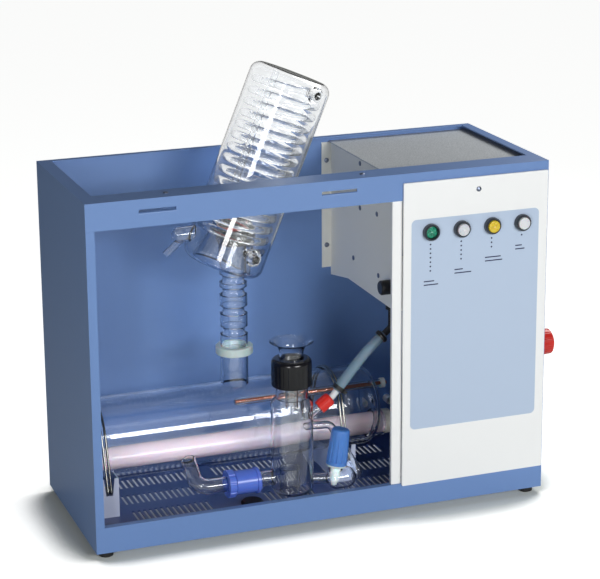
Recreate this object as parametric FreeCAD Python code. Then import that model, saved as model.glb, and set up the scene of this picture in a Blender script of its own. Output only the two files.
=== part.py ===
# Glass water distiller: a sheet-steel cabinet that holds a horizontal glass boiler,
# a steam column, a leveller with its drain tap, and a lift-off glass condenser.
# Sizes in millimetres. Shapes are drawn with x from the cabinet's left side, y from its
# front face and z from the floor, and are moved to the middle of the base at the end.
import FreeCAD, Part
import math
import os

os.makedirs("parts", exist_ok=True)
V = FreeCAD.Vector
UP = V(0, 0, 1)
RIGHT = V(1, 0, 0)
BACK = V(0, 1, 0)

# Cabinet
CASE_W = 550.0
CASE_D = 220.0
CASE_H = 402.0
FOOT_H = 8.0
FOOT_R = 8.5
FOOT_INSET = 14.0
SHEET = 1.5
SEAM = 0.1
LIP_W = 10.0
LEFT_FLANGE = 16.0
RIGHT_FLANGE = 12.0
BACK_FLANGE = 8.0
RAIL_H = 31.0
RAIL_DEEP = 33.0
RAIL_TURN = 9.0
RAIL_SLOT = (42.0, 5.0)
RAIL_SLOT_X = (59.5, 270.0)
RAIL_SLOT_DROP = 16.5
PLINTH_H = 30.0
PLINTH_RETURN = 8.0
PAN_BACK_H = 18.0
PAN_SLOT = (50.0, 5.0)
PAN_SLOTS = 8
BACK_SLOT = (60.0, 4.5)
BACK_SLOTS = 7
BACK_SLOT_PITCH = 12.0
BACK_SLOT_LOW = 300.0
BACK_SLOT_IN = (30.0, 105.0)

# Vented tray
TRAY_UP = 20.0
TRAY_FRONT = 3.0
TRAY_SIDE = 3.0
SLOT_L = 27.0
SLOT_W = 3.2
SLOT_PITCH = 6.7
SLOT_GROUP = 14
GROUP_X = (57.0, 182.0, 307.0)
ROW_FIRST = 31.0
ROW_PITCH = 48.5
ROWS = 4
PLUG_AT = (194.0, 31.0)
PLUG_R = 13.0
PLUG_NECK_R = 10.5
PLUG_H = 4.0

# Control housing and its panel
WALL_X = 365.0
WALL_LOW = 244.5
WALL_LOW_BACK = 234.0
WALL_SLANT_Y = 161.0
WALL_FRONT_Y = 15.0
WALL_FLANGE = 12.0
WALL_TURN = 10.0
COVER_SINK = 6.0
COVER_LIP = 12.0
STRIP_W = 12.0
STRIP_DEEP = 14.0
PANEL_LEFT = 367.5
PANEL_RIGHT_GAP = 2.0
PANEL_LOW_DROP = 2.0
PANEL_TOP_GAP = 10.5
PANEL_PROUD = 3.0
LABEL_W = 160.0
LABEL_H = 251.5
LABEL_LEFT = 377.0
LABEL_LOW = 104.5
LABEL_R = 6.0
LABEL_T = 0.3
LAMP_DROP = 15.5
LAMP_FIRST_X = 400.5
LAMP_PITCH = 38.3
LAMPS = 4
LAMP_HOLE_R = 8.2
BEZEL_R = 9.8
BEZEL_H = 7.0
BEZEL_BORE = 7.4
LENS_R = 7.1
LENS_H = 8.6
LENS_FOOT = 4.0
LAMP_BODY_R = 7.9
LAMP_BODY_H = 26.0
BUTTON_TRAVEL = 3.0
BUTTON_STEM_R = 5.0
PANEL_SCREW_X = 460.0
FLOOR_EDGE = 12.0
PANEL_SCREW_Z = 385.0
SCREW_R = 3.0
SCREW_SHANK_R = 1.6
SCREW_HEAD_H = 1.6
WALL_SCREWS = ((122.0, 396.0), (143.0, 275.0), (122.0, 342.0), (70.0, 347.0), (65.0, 274.0))
FLANGE_SCREW_Z = (273.0, 380.0)
RAIL_RIVETS = ((95.0, 17.0), (325.0, 17.0))
WALL_CAP_AT = (25.5, 271.5)
WALL_CAP_R = 8.5
WALL_CAP_H = 15.0
ELBOW_X = 371.8
ELBOW_Y = 42.0
ELBOW_R = 7.0
ELBOW_NECK_R = 4.3
ELBOW_BEND = 9.0
ELBOW_LOW = 217.0
BARB_R = 3.9
BARB_IN = 8.0

# Red knob and its valve
KNOB_Y = 40.0
KNOB_Z = 176.0
KNOB_R = 16.0
KNOB_H = 26.0
KNOB_GAP = 5.0
KNOB_FLUTES = 12
KNOB_FLUTE_R = 2.2
KNOB_SHAFT_R = 3.0
BUSH_R = 6.0
NUT_R = 9.0
NUT_H = 3.5
VALVE_SIZE = (34.0, 30.0, 36.0)
VALVE_PORT_R = 6.0
VALVE_PORT_H = 14.0
RUN = 0.05

# Rear connectors
REAR_OUT = 20.0
SPIGOT_IN = (140.0, 110.0)
SPIGOT_Z = 62.0
SPIGOT_R = 5.0
SPIGOT_BORE = 3.2
SPIGOT_NUT_R = 9.0
SPIGOT_FLANGE = 4.0
GLAND_IN = 50.0
GLAND_R = 9.0

# Boiler
BOILER_Y = 115.0
BOILER_Z = 100.0
BOILER_R = 48.5
BOILER_X = (14.0, 382.0)
BOILER_WALL = 2.6
BOILER_CROWN = 7.0
BOILER_KNUCKLE = 18.0
COLUMN_X = 202.9
COLUMN_R = 16.35
COLUMN_WALL = 2.0
NECK_TOP = 189.0
COLLAR_R = 22.0
COLLAR_H = 10.0
ARM_X = 131.0
ARM_R = 9.0
ARM_WALL = 1.8
ARM_BEND = 15.0
ARM_Y = 40.0
ARM_Z = 52.3
ARM_IN = 22.0
HEATER_DROP = 27.0
HEATER_R = 13.5
HEATER_X = (24.0, 391.0)
HEATER_NOZZLE_R = 17.0
HEATER_NOZZLE_OUT = 6.0
NOZZLE_ROOT = 30.0
HEATER_CAP_R = 15.0
HEATER_CAP_H = 10.0
POCKET_RISE = 22.5
POCKET_R = 4.5
POCKET_WALL = 0.9
POCKET_X = (201.0, 388.0)
ROD_R = 2.2
ROD_CLEAR = 0.3
ROD_OUT = 8.0

# Boiler saddles and their wire straps
SADDLE_X = (19.0, 308.0)
SADDLE_W = 22.0
SADDLE_Y = (50.0, 180.0)
SADDLE_H = 46.5
NOTCH_TOP = 12.5
NOTCH_LOW = 7.6
NOTCH_DEEP = 20.5
CRADLE_GAP = 0.3
WIRE_R = 1.4
WIRE_GAP = 1.2
WIRE_CLEAR = 0.3
HOOK_BACK = 8.0
HOOK_UP = 6.0
HOOK_BEND = 3.0

# Steam column and condenser seat
PINCH_Z = (213.0, 238.0, 261.0, 276.0)
PINCH_DEEP = 3.6
PINCH_R = 5.0
PIVOT_Z = 328.0
BALL_R = 19.8
BALL_TOP_R = 12.0
SEAL_UP = 9.8
SEAL_WIRE = 2.2
LINER_GAP = 0.3
LINER_T = 2.0
LINER_HOLE = 13.0
LINER_SKIRT = 6.0

# Condenser, drawn upright about the middle of its seat
LEAN = 22.5
JAR_R = 48.0
JAR_WALL = 2.4
JAR_LOW = -40.0
JAR_TOP = 199.0
JAR_KNUCKLE = 12.0
NECK_WALL = 2.2
NECK_HOLE = 15.0
STOP_GAP = 0.35
COIL_R = 38.0
COIL_TUBE = 4.7
COIL_TURNS = 14
COIL_LEAD = 40.0
COIL_LEAD_RISE = 4.0
STUB_TURN = 12.0
STUB_UP = 186.0
STUB_LOW = -12.0
STUB_R = 6.0
STUB_OLIVE = 9.5
STUB_OUT = 15.0
STUB_BORE_ON = 30.0
DRAIN_UP = -10.5
DRAIN_DROP = 24.5
DRAIN_R = 9.5
DRAIN_LEN = 21.5
NOZZLE_R = 4.5
NOZZLE_LEN = 34.5
NOZZLE_AT = 12.5
NOZZLE_LEAN = 26.5
DRAIN_WALL = 1.6
DRAIN_CORE_H = 80.0
NOZZLE_WALL = 1.2
VENT_R = 4.0
VENT_AT = 20.0
VENT_LOW = 60.0

# Leveller
LEV_X = 246.8
LEV_Y = 40.0
LEV_R = 24.8
LEV_WALL = 2.0
LEV_LOW = 32.0
LEV_SHOULDER = 138.0
LEV_NECK_R = 19.0
LEV_NECK_LOW = 148.0
LEV_NECK_TOP = 186.0
LEV_FOOT_R = 8.0
CAP_R = 23.5
CAP_LOW = 163.0
CAP_TOP = 196.0
CAP_CHAMFER = 5.0
CAP_HOLE = 14.6
CAP_GRIPS = 24
SEAL_T = 3.0
FUNNEL_NECK = 14.0
FUNNEL_STEM = 7.5
FUNNEL_RIM = 25.5
FUNNEL_TOP = 215.6
FUNNEL_NECK_UP = 12.0
FUNNEL_BOW_UP = 20.5
FUNNEL_LOW = 134.0
FUNNEL_WALL = 1.6
FUNNEL_FLANGE_R = 18.0
FUNNEL_FLANGE_T = 2.5
STAND_R = 12.0
STAND_TOP = 62.0
FEED_RISE = 36.0
FEED_Z = 106.0
FEED_R = 5.0
FEED_WALL = 1.2
FEED_END = 46.0
RED_R = 8.2
RED_AT = 48.5
RED_LEN = 17.5
RED_HOLE = 4.4
RED_ROOF = 2.5
SPOUT_CORNER = 63.0
SPOUT_BARE = 7.0
SPOUT_BEND = 8.0
HOSE_R = 6.0
HOSE_POINTS = ((332.3, 41.0, 184.3), (351.3, 41.6, 201.3))
CLIP_R = 7.6
CLIP_W = 5.0

# Coupling between boiler and leveller
SLEEVE_R = 14.0
SLEEVE_L = 39.0
SLEEVE_GAP = 41.8
NUT_RING_R = 16.2
NUT_RING_W = 8.0
ARM_FIT = 0.25

# Drain tap
TAP_OUT = 57.2
TAP_Y = 31.0
TAP_Z = 44.0
TAP_BULB_R = 13.2
TAP_BULB_L = 37.0
TAP_WALL = 1.8
TAP_LEAN = 8.0
STEM_BACK = 10.0
STEM_R = 6.0
STEM_LOW = 4.0
STEM_UP = 30.0
STEM_PIN = 20.0
BARREL_R = 8.6
BARREL_TOP = 26.5
HANDLE_R = (12.4, 10.8)
HANDLE_H = 43.0
HANDLE_FLUTES = 12
HANDLE_FLUTE_R = 1.8
RING_H = 2.0
TAP_TRAVEL = 4.0
OVER_R = 4.6
OVER_WALL = 1.0
OVER_BEND = 10.0
OVER_Y = 50.0
OVER_Z = 106.0
OVER_REACH = (51.2, 84.2)
OVER_CUT_H = 40.0
OVER_POINTS = ((LEV_X + OVER_REACH[0], OVER_Y, 104.0), (LEV_X + OVER_REACH[1], 37.0, 42.0))

TOP = FOOT_H + CASE_H
LAMP_Z = LABEL_LOW + LABEL_H - LAMP_DROP
SPIGOT_X = [CASE_W - reach for reach in SPIGOT_IN]
GLAND_X = CASE_W - GLAND_IN
SLEEVE_END = LEV_X - SLEEVE_GAP
SLEEVE_X = (SLEEVE_END - SLEEVE_L, SLEEVE_END)
ARM_END = SLEEVE_END - ARM_IN
TAP_X = LEV_X + TAP_OUT
STEM_X = TAP_X - STEM_BACK
TRAY_TOP = FOOT_H + TRAY_UP
PLINTH_TOP = FOOT_H + PLINTH_H
RAIL_LOW = TOP - RAIL_H
PANEL_RIGHT = CASE_W - PANEL_RIGHT_GAP
PANEL_LOW = PLINTH_TOP - PANEL_LOW_DROP
PANEL_TOP = TOP - PANEL_TOP_GAP
KNOB_OUT = KNOB_GAP + KNOB_H
FRONT_OUT = PANEL_PROUD + LABEL_T + LENS_H
BASE_MIDDLE = V((CASE_W + KNOB_OUT) / 2, (CASE_D + REAR_OUT - FRONT_OUT) / 2, 0)
PIVOT = V(COLUMN_X, BOILER_Y, PIVOT_Z)

pieces = {}


def box(x0, x1, y0, y1, z0, z1):
    return Part.makeBox(x1 - x0, y1 - y0, z1 - z0, V(x0, y0, z0))


def rod(at, way, radius, length):
    return Part.makeCylinder(radius, length, at, way)


def pipe_piece(at, way, outer, inner, length):
    return rod(at, way, outer, length).cut(rod(at, way, inner, length))


def joined(shapes):
    whole = shapes[0]
    for shape in shapes[1:]:
        whole = whole.fuse(shape)
    return whole.removeSplitter()


def cut_all(shape, cutters):
    return shape.cut(Part.makeCompound(cutters))


def outline(corners, bows=None):
    """Closed face in the xz plane; bows maps an edge's first corner to a point on its arc."""
    bows = bows or {}
    points = [V(x, 0, z) for x, z in corners]
    edges = []
    for index, start in enumerate(points):
        end = points[(index + 1) % len(points)]
        if index in bows:
            middle = V(bows[index][0], 0, bows[index][1])
            edges.append(Part.Arc(start, middle, end).toShape())
        else:
            edges.append(Part.LineSegment(start, end).toShape())
    return Part.Face(Part.Wire(edges))


def turned(corners, bows=None):
    """Solid of revolution about z; corners are (radius, height)."""
    return outline(corners, bows).revolve(V(), UP, 360)


def stood(shape, at, way):
    """Shape drawn along z from the origin, stood at a point and pointed along a way."""
    moved = shape.copy()
    moved.Placement = FreeCAD.Placement(at, FreeCAD.Rotation(UP, way)).multiply(moved.Placement)
    return moved


def on_arc(radius, degrees, middle=(0.0, 0.0)):
    """Point of a circle in an outline, measured from the x direction."""
    angle = math.radians(degrees)
    return (middle[0] + radius * math.cos(angle), middle[1] + radius * math.sin(angle))


def dome(radius, low, high):
    """Middle point of a dome's arc between (radius, low) and (0, high)."""
    rise = abs(high - low)
    ball = (radius ** 2 + rise ** 2) / (2 * rise)
    drop = ball - math.sqrt(ball ** 2 - radius ** 2 / 4)
    return (radius / 2, high - math.copysign(drop, high - low))


def route(points, bend):
    """Straight runs joined by tangent arcs; bend is one radius or one for each inner corner."""
    edges = []
    start = points[0]
    for index in range(1, len(points) - 1):
        corner = points[index]
        before = (corner - points[index - 1]).normalize()
        after = (points[index + 1] - corner).normalize()
        turn = before.getAngle(after)
        radius = bend[index - 1] if isinstance(bend, (list, tuple)) else bend
        back = radius * math.tan(turn / 2)
        first = corner - before * back
        last = corner + after * back
        inward = (after - before).normalize()
        middle = corner + inward * (radius / math.cos(turn / 2) - radius)
        edges.append(Part.LineSegment(start, first).toShape())
        edges.append(Part.Arc(first, middle, last).toShape())
        start = last
    edges.append(Part.LineSegment(start, points[-1]).toShape())
    return Part.Wire(edges)


def swept(path, radius):
    """Round bar along a path."""
    edge = path.Edges[0]
    start = edge.valueAt(edge.FirstParameter)
    way = edge.tangentAt(edge.FirstParameter)
    circle = Part.Wire([Part.Circle(start, way, radius).toShape()])
    return path.makePipeShell([circle], True, False)


def arc_leaving(start, way, end):
    """Arc from start along a unit tangent to end."""
    chord = end - start
    half = chord.Length / 2
    angle = way.getAngle(chord)
    side = way - chord * (way.dot(chord) / chord.dot(chord))
    middle = start + chord * 0.5 + side.normalize() * (half * math.tan(angle / 2))
    return Part.Arc(start, middle, end).toShape()


def biarc(start, way, end, end_way):
    """Two arcs that leave start along way and reach end along end_way."""
    span = end - start
    total = way + end_way
    scale = 2 * (1 - way.dot(end_way))
    along = span.dot(total)
    reach = (math.sqrt(along * along + scale * span.dot(span)) - along) / scale
    meeting = (start + way * reach + end - end_way * reach) * 0.5
    first = arc_leaving(start, way, meeting)
    last = arc_leaving(end, end_way * -1, meeting)
    middle = last.valueAt((last.FirstParameter + last.LastParameter) / 2)
    return [first, Part.Arc(meeting, middle, end).toShape()]


def helix_point(radius, pitch, low, angle):
    return V(radius * math.cos(angle), radius * math.sin(angle), low + pitch * angle / (2 * math.pi))


def helix_way(radius, pitch, angle):
    rise = pitch / (2 * math.pi)
    return V(-radius * math.sin(angle), radius * math.cos(angle), rise).normalize()


def helix_edges(radius, pitch, low, first_angle, turns):
    """Helix as biarcs of half a turn, for turns counted from first_angle."""
    edges = []
    steps = max(1, round(turns * 2))
    step = turns * 2 * math.pi / steps
    for index in range(steps):
        a = first_angle + index * step
        b = a + step
        edges += biarc(helix_point(radius, pitch, low, a), helix_way(radius, pitch, a),
                       helix_point(radius, pitch, low, b), helix_way(radius, pitch, b))
    return edges


def least_loop_gap(name, path, thickness):
    """Prints the least clear distance between turns of one wound tube."""
    points = path.discretize(Distance=3.0)
    least = 1e9
    for i, a in enumerate(points):
        for b in points[i + 10:]:
            least = min(least, (a - b).Length)
    print(name, "least gap to itself", round(least - thickness, 2), "mm")


def left_side_panel():
    sheet = box(0, SHEET, SHEET + SEAM, CASE_D - SHEET - SEAM, FOOT_H + SHEET + SEAM, TOP)
    under_rail = box(-1, SHEET + 1, 0, RAIL_DEEP + SEAM, TOP - SHEET - SEAM, TOP + 1)
    lip = box(0, LIP_W, 0, SHEET, PLINTH_TOP + SEAM, RAIL_LOW - SEAM)
    web = box(0, SHEET, 0, SHEET + 1, PLINTH_TOP + SEAM, RAIL_LOW - SEAM)
    flange = box(0, LEFT_FLANGE, RAIL_DEEP + SEAM, CASE_D - BACK_FLANGE - SEAM, TOP - SHEET, TOP)
    turn = box(LEFT_FLANGE - SHEET, LEFT_FLANGE, RAIL_DEEP + SEAM, CASE_D - BACK_FLANGE - SEAM,
               TOP - RAIL_TURN, TOP)
    back = box(-1, SHEET + 1, CASE_D - BACK_FLANGE - SEAM, CASE_D, TOP - SHEET - SEAM, TOP + 1)
    return joined([sheet.cut(under_rail).cut(back), lip, web, flange, turn])


def right_side_panel():
    x = CASE_W
    sheet = box(x - SHEET, x, SHEET + SEAM, CASE_D - SHEET - SEAM, FOOT_H + SHEET + SEAM, TOP)
    under_rail = box(x - SHEET - 1, x + 1, 0, RAIL_DEEP + SEAM, TOP - SHEET - SEAM, TOP + 1)
    back = box(x - SHEET - 1, x + 1, CASE_D - BACK_FLANGE - SEAM, CASE_D, TOP - SHEET - SEAM, TOP + 1)
    lip = box(x - LIP_W, x, 0, SHEET, PLINTH_TOP + SEAM, RAIL_LOW - SEAM)
    web = box(x - SHEET, x, 0, SHEET + 1, PLINTH_TOP + SEAM, RAIL_LOW - SEAM)
    flange = box(x - RIGHT_FLANGE, x, RAIL_DEEP + SEAM, CASE_D - BACK_FLANGE - SEAM, TOP - SHEET, TOP)
    hole = rod(V(x - SHEET - 1, KNOB_Y, KNOB_Z), RIGHT, BUSH_R + RUN, SHEET + 2)
    return joined([sheet.cut(under_rail).cut(back), lip, web, flange]).cut(hole)


def rail_slot_lips():
    """Pressed strips that stand in the lower edge of each rail slot."""
    length, height = RAIL_SLOT
    low = TOP - RAIL_SLOT_DROP
    face = outline([(-0.8, low), (SHEET, low), (SHEET, low + 1.6)], {2: (-0.1, low + 1.3)})
    bar = face.extrude(V(0, length, 0))
    bar.rotate(V(), UP, 90)
    return [bar.translated(V(x + length, 0, 0)) for x in RAIL_SLOT_X]


def front_top_rail():
    face = box(0, CASE_W, 0, SHEET, RAIL_LOW, TOP)
    top = box(0, CASE_W, 0, RAIL_DEEP, TOP - SHEET, TOP)
    turn = box(LEFT_FLANGE, CASE_W - SHEET - SEAM, RAIL_DEEP - SHEET, RAIL_DEEP, TOP - RAIL_TURN, TOP)
    rail = joined([face, top, turn])
    length, height = RAIL_SLOT
    cutters = []
    for x in RAIL_SLOT_X:
        low = TOP - RAIL_SLOT_DROP
        cutters.append(box(x, x + length, -1, SHEET + 1, low, low + height))
    for x, y in RAIL_RIVETS:
        cutters.append(rod(V(x, y, TOP - SHEET - 1), UP, SCREW_SHANK_R + RUN, SHEET + 2))
    return joined([cut_all(rail, cutters)] + rail_slot_lips())


def back_panel():
    sheet = box(0, CASE_W, CASE_D - SHEET, CASE_D, FOOT_H + SHEET + SEAM, TOP)
    flange = box(0, CASE_W, CASE_D - BACK_FLANGE, CASE_D, TOP - SHEET, TOP)
    panel = joined([sheet, flange])
    length, height = BACK_SLOT
    cutters = []
    for index in range(BACK_SLOTS):
        low = BACK_SLOT_LOW + index * BACK_SLOT_PITCH
        for x in [WALL_X + reach for reach in BACK_SLOT_IN]:
            cutters.append(box(x, x + length, CASE_D - SHEET - 1, CASE_D + 1, low, low + height))
    for x in SPIGOT_X:
        cutters.append(rod(V(x, CASE_D - SHEET - 1, SPIGOT_Z), BACK, SPIGOT_R + RUN, SHEET + 2))
    cutters.append(rod(V(GLAND_X, CASE_D - SHEET - 1, SPIGOT_Z), BACK, GLAND_R - 2 + RUN, SHEET + 2))
    return cut_all(panel, cutters)


def base_pan():
    floor = box(0, CASE_W, 0, CASE_D, FOOT_H, FOOT_H + SHEET)
    front = box(0, CASE_W, 0, SHEET, FOOT_H, PLINTH_TOP)
    lip = box(SHEET + SEAM, CASE_W - SHEET - SEAM, 0, PLINTH_RETURN, PLINTH_TOP - SHEET, PLINTH_TOP)
    inside = CASE_D - SHEET - SEAM
    back = box(SHEET + SEAM, CASE_W - SHEET - SEAM, inside - SHEET, inside, FOOT_H, FOOT_H + PAN_BACK_H)
    pan = joined([floor, front, lip, back])
    length, width = PAN_SLOT
    pitch = CASE_W / (PAN_SLOTS + 1)
    cutters = []
    for index in range(PAN_SLOTS):
        x = (index + 1) * pitch - width / 2
        for y in (CASE_D * 0.25, CASE_D * 0.75):
            cutters.append(box(x, x + width, y - length / 2, y + length / 2, FOOT_H - 1, FOOT_H + SHEET + 1))
    return cut_all(pan, cutters)


def feet():
    corners = [(FOOT_R, 0.8), (FOOT_R, FOOT_H), (0, FOOT_H), (0, 0), (FOOT_R - 0.8, 0)]
    foot = turned(corners)
    shapes = []
    for x in (FOOT_INSET, CASE_W - FOOT_INSET):
        for y in (FOOT_INSET, CASE_D - FOOT_INSET):
            shapes.append(stood(foot, V(x, y, 0), UP))
    return Part.makeCompound(shapes)


def vent_tray():
    x0 = TRAY_SIDE
    x1 = CASE_W - TRAY_SIDE
    y1 = CASE_D - 2 * SHEET - 4 * SEAM
    floor = box(x0, x1, TRAY_FRONT, y1, TRAY_TOP - SHEET, TRAY_TOP)
    legs = []
    for y in (TRAY_FRONT, y1 - SHEET):
        legs.append(box(x0, x1, y, y + SHEET, FOOT_H + SHEET, TRAY_TOP))
    tray = joined([floor] + legs)
    cutters = [rod(V(PLUG_AT[0], PLUG_AT[1], TRAY_TOP - SHEET - 1), UP, PLUG_NECK_R + SEAM, SHEET + 2)]
    for row in range(ROWS):
        y = ROW_FIRST + row * ROW_PITCH
        for group in GROUP_X:
            for index in range(SLOT_GROUP):
                x = group + index * SLOT_PITCH
                if row == 0 and abs(x - PLUG_AT[0]) < PLUG_R + SLOT_W + 4:
                    continue
                cutters.append(box(x, x + SLOT_W, y, y + SLOT_L, TRAY_TOP - SHEET - 1, TRAY_TOP + 1))
    return cut_all(tray, cutters)


def tray_plug():
    corners = [(0, TRAY_TOP - 6), (PLUG_NECK_R, TRAY_TOP - 6), (PLUG_NECK_R, TRAY_TOP), (PLUG_R, TRAY_TOP),
               (PLUG_R, TRAY_TOP + PLUG_H * 0.5), (PLUG_R - 2, TRAY_TOP + PLUG_H), (0, TRAY_TOP + PLUG_H)]
    return stood(turned(corners), V(PLUG_AT[0], PLUG_AT[1], 0), UP)


def screw_hole(at, way):
    return rod(at - way * 2, way, SCREW_SHANK_R + RUN, 6)


def screw(at, way, shank):
    """Domed screw whose head sits on a face at a point and looks along a way."""
    corners = [(0, -shank), (SCREW_SHANK_R, -shank), (SCREW_SHANK_R, 0), (SCREW_R, 0),
               (SCREW_R, SCREW_HEAD_H * 0.4), (0, SCREW_HEAD_H)]
    return stood(turned(corners, {4: dome(SCREW_R, SCREW_HEAD_H * 0.4, SCREW_HEAD_H)}), at, way)


def housing_wall():
    cover_z = TOP - COVER_SINK
    y_back = CASE_D - SHEET - SEAM
    profile = [(WALL_FRONT_Y, WALL_LOW), (WALL_SLANT_Y, WALL_LOW), (y_back, WALL_LOW_BACK),
               (y_back, cover_z - SHEET - SEAM), (RAIL_DEEP + SEAM, cover_z - SHEET - SEAM),
               (RAIL_DEEP + SEAM, TOP - RAIL_TURN - 2), (WALL_FRONT_Y, TOP - RAIL_TURN - 2)]
    points = [V(WALL_X, y, z) for y, z in profile]
    wall = Part.Face(Part.makePolygon(points + points[:1])).extrude(V(SHEET, 0, 0))
    flange = box(WALL_X - WALL_FLANGE, WALL_X + SHEET, y_back - SHEET, y_back, WALL_LOW, cover_z - SHEET - SEAM)
    turn = box(WALL_X, WALL_X + WALL_TURN, RAIL_DEEP + SEAM, y_back - SHEET - SEAM,
               cover_z - 2 * SHEET - SEAM, cover_z - SHEET - SEAM)
    foot = box(WALL_X, WALL_X + WALL_TURN, WALL_FRONT_Y, WALL_SLANT_Y, WALL_LOW, WALL_LOW + SHEET)
    cutters = [screw_hole(V(WALL_X, y, z), RIGHT) for y, z in WALL_SCREWS]
    cutters += [screw_hole(V(WALL_X - WALL_FLANGE / 2, y_back - SHEET, z), BACK) for z in FLANGE_SCREW_Z]
    cutters.append(rod(V(WALL_X - 1, WALL_CAP_AT[0], WALL_CAP_AT[1]), RIGHT, 3 + RUN, SHEET + 2))
    cutters.append(rod(V(ELBOW_X, ELBOW_Y, WALL_LOW - 1), UP, ELBOW_NECK_R + SEAM, SHEET + 2))
    return cut_all(joined([wall, flange, turn, foot]), cutters)


def case_screws():
    y_back = CASE_D - SHEET - SEAM
    shapes = [screw(V(WALL_X, y, z), RIGHT * -1, SHEET * 1.5) for y, z in WALL_SCREWS]
    for z in FLANGE_SCREW_Z:
        shapes.append(screw(V(WALL_X - WALL_FLANGE / 2, y_back - SHEET, z), BACK * -1, SHEET))
    for x, y in RAIL_RIVETS:
        shapes.append(screw(V(x, y, TOP), UP, SHEET))
    shapes.append(screw(V(PANEL_SCREW_X, -PANEL_PROUD, PANEL_SCREW_Z), BACK * -1, SHEET))
    return Part.makeCompound(shapes)


def housing_floor():
    low = WALL_LOW + SHEET + SEAM
    plate = box(WALL_X + SHEET + SEAM, CASE_W - SHEET - SEAM, WALL_FRONT_Y, CASE_D - 2 * SHEET - 2 * SEAM,
                low, low + SHEET)
    edge = box(CASE_W - 2 * SHEET - SEAM, CASE_W - SHEET - SEAM, WALL_FRONT_Y,
               CASE_D - 2 * SHEET - 2 * SEAM, low, low + FLOOR_EDGE)
    hole = rod(V(ELBOW_X, ELBOW_Y, low - 1), UP, ELBOW_NECK_R + SEAM, SHEET + 2)
    return joined([plate, edge]).cut(hole)


def wall_cap():
    corners = [(0, -SHEET - 2), (3, -SHEET - 2), (3, 0), (WALL_CAP_R, 0), (WALL_CAP_R, WALL_CAP_H - 1.5),
               (WALL_CAP_R - 1.5, WALL_CAP_H), (0, WALL_CAP_H)]
    at = V(WALL_X, WALL_CAP_AT[0], WALL_CAP_AT[1])
    return stood(turned(corners), at, RIGHT * -1)


def bay_strip():
    low = PLINTH_TOP + SEAM
    high = RAIL_LOW - SEAM
    x0 = PANEL_LEFT - STRIP_W
    face = box(x0, PANEL_LEFT, SHEET + SEAM, 2 * SHEET + SEAM, low, high)
    side = box(PANEL_LEFT - SHEET, PANEL_LEFT, SHEET + SEAM, STRIP_DEEP, low, high)
    hem = box(x0, x0 + SHEET, SHEET + SEAM, 6, low, high)
    return joined([face, side, hem])


def lamp_x(index):
    return LAMP_FIRST_X + index * LAMP_PITCH


def front_panel():
    y0 = -PANEL_PROUD
    back = -SEAM
    outer = box(PANEL_LEFT, PANEL_RIGHT, y0, back, PANEL_LOW, PANEL_TOP)
    corners = [edge for edge in outer.Edges if abs(edge.tangentAt(0).y) > 0.9]
    outer = outer.makeFillet(1.2, corners)
    inner = box(PANEL_LEFT + SHEET, PANEL_RIGHT - SHEET, y0 + SHEET, back + 1, PANEL_LOW + SHEET,
                PANEL_TOP - SHEET)
    cutters = [inner]
    for index in range(LAMPS):
        cutters.append(rod(V(lamp_x(index), y0 - 1, LAMP_Z), BACK, LAMP_HOLE_R, SHEET + 2))
    cutters.append(screw_hole(V(PANEL_SCREW_X, y0, PANEL_SCREW_Z), BACK))
    return cut_all(outer, cutters)


def panel_label():
    y0 = -PANEL_PROUD - LABEL_T
    plate = box(LABEL_LEFT, LABEL_LEFT + LABEL_W, y0, -PANEL_PROUD, LABEL_LOW, LABEL_LOW + LABEL_H)
    corners = [edge for edge in plate.Edges if abs(edge.tangentAt(0).y) > 0.9]
    plate = plate.makeFillet(LABEL_R, corners)
    cutters = [rod(V(lamp_x(index), y0 - 1, LAMP_Z), BACK, LAMP_HOLE_R, 3) for index in range(LAMPS)]
    return cut_all(plate, cutters)


def top_cover():
    z = TOP - COVER_SINK
    x1 = CASE_W - SHEET - SEAM
    y1 = CASE_D - SHEET - SEAM
    plate = box(WALL_X - 3, x1, RAIL_DEEP + SEAM, y1, z - SHEET, z)
    skirt = box(x1 - SHEET, x1, RAIL_DEEP + SEAM, y1, z - COVER_LIP, z)
    return joined([plate, skirt])


def lamp_seat(index):
    return V(lamp_x(index), -PANEL_PROUD - LABEL_T, LAMP_Z)


def lamp_bezels():
    corners = [(BEZEL_BORE, 0), (BEZEL_R, 0), (BEZEL_R, BEZEL_H - 2.2), (BEZEL_R - 1.6, BEZEL_H),
               (BEZEL_BORE, BEZEL_H - 1.2)]
    ring = turned(corners)
    return Part.makeCompound([stood(ring, lamp_seat(index), BACK * -1) for index in range(LAMPS)])


def lamp_bodies():
    """Bodies behind the panel; the last one, under the button, is bored for its stem."""
    corners = [(0, -LAMP_BODY_H), (LAMP_BODY_R, -LAMP_BODY_H), (LAMP_BODY_R, -RUN), (0, -RUN)]
    body = turned(corners)
    well = rod(V(0, 0, -LENS_FOOT - BUTTON_TRAVEL - 2), UP, BUTTON_STEM_R + RUN, LAMP_BODY_H)
    shapes = []
    for index in range(LAMPS):
        shape = body.cut(well) if index == LAMPS - 1 else body
        shapes.append(stood(shape, lamp_seat(index), BACK * -1))
    return Part.makeCompound(shapes)


def lamp_lens(index, recess):
    """Domed lens; recess is how far its crown lies below that of the button."""
    high = LENS_H - recess
    corners = [(0, 0), (LENS_R, 0), (LENS_R, high - 1.4), (LENS_R - 1.4, high - 0.3), (0, high)]
    bows = {2: (LENS_R - 0.4, high - 0.7), 3: dome(LENS_R - 1.4, high - 0.3, high)}
    return stood(turned(corners, bows), lamp_seat(index), BACK * -1)


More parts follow.
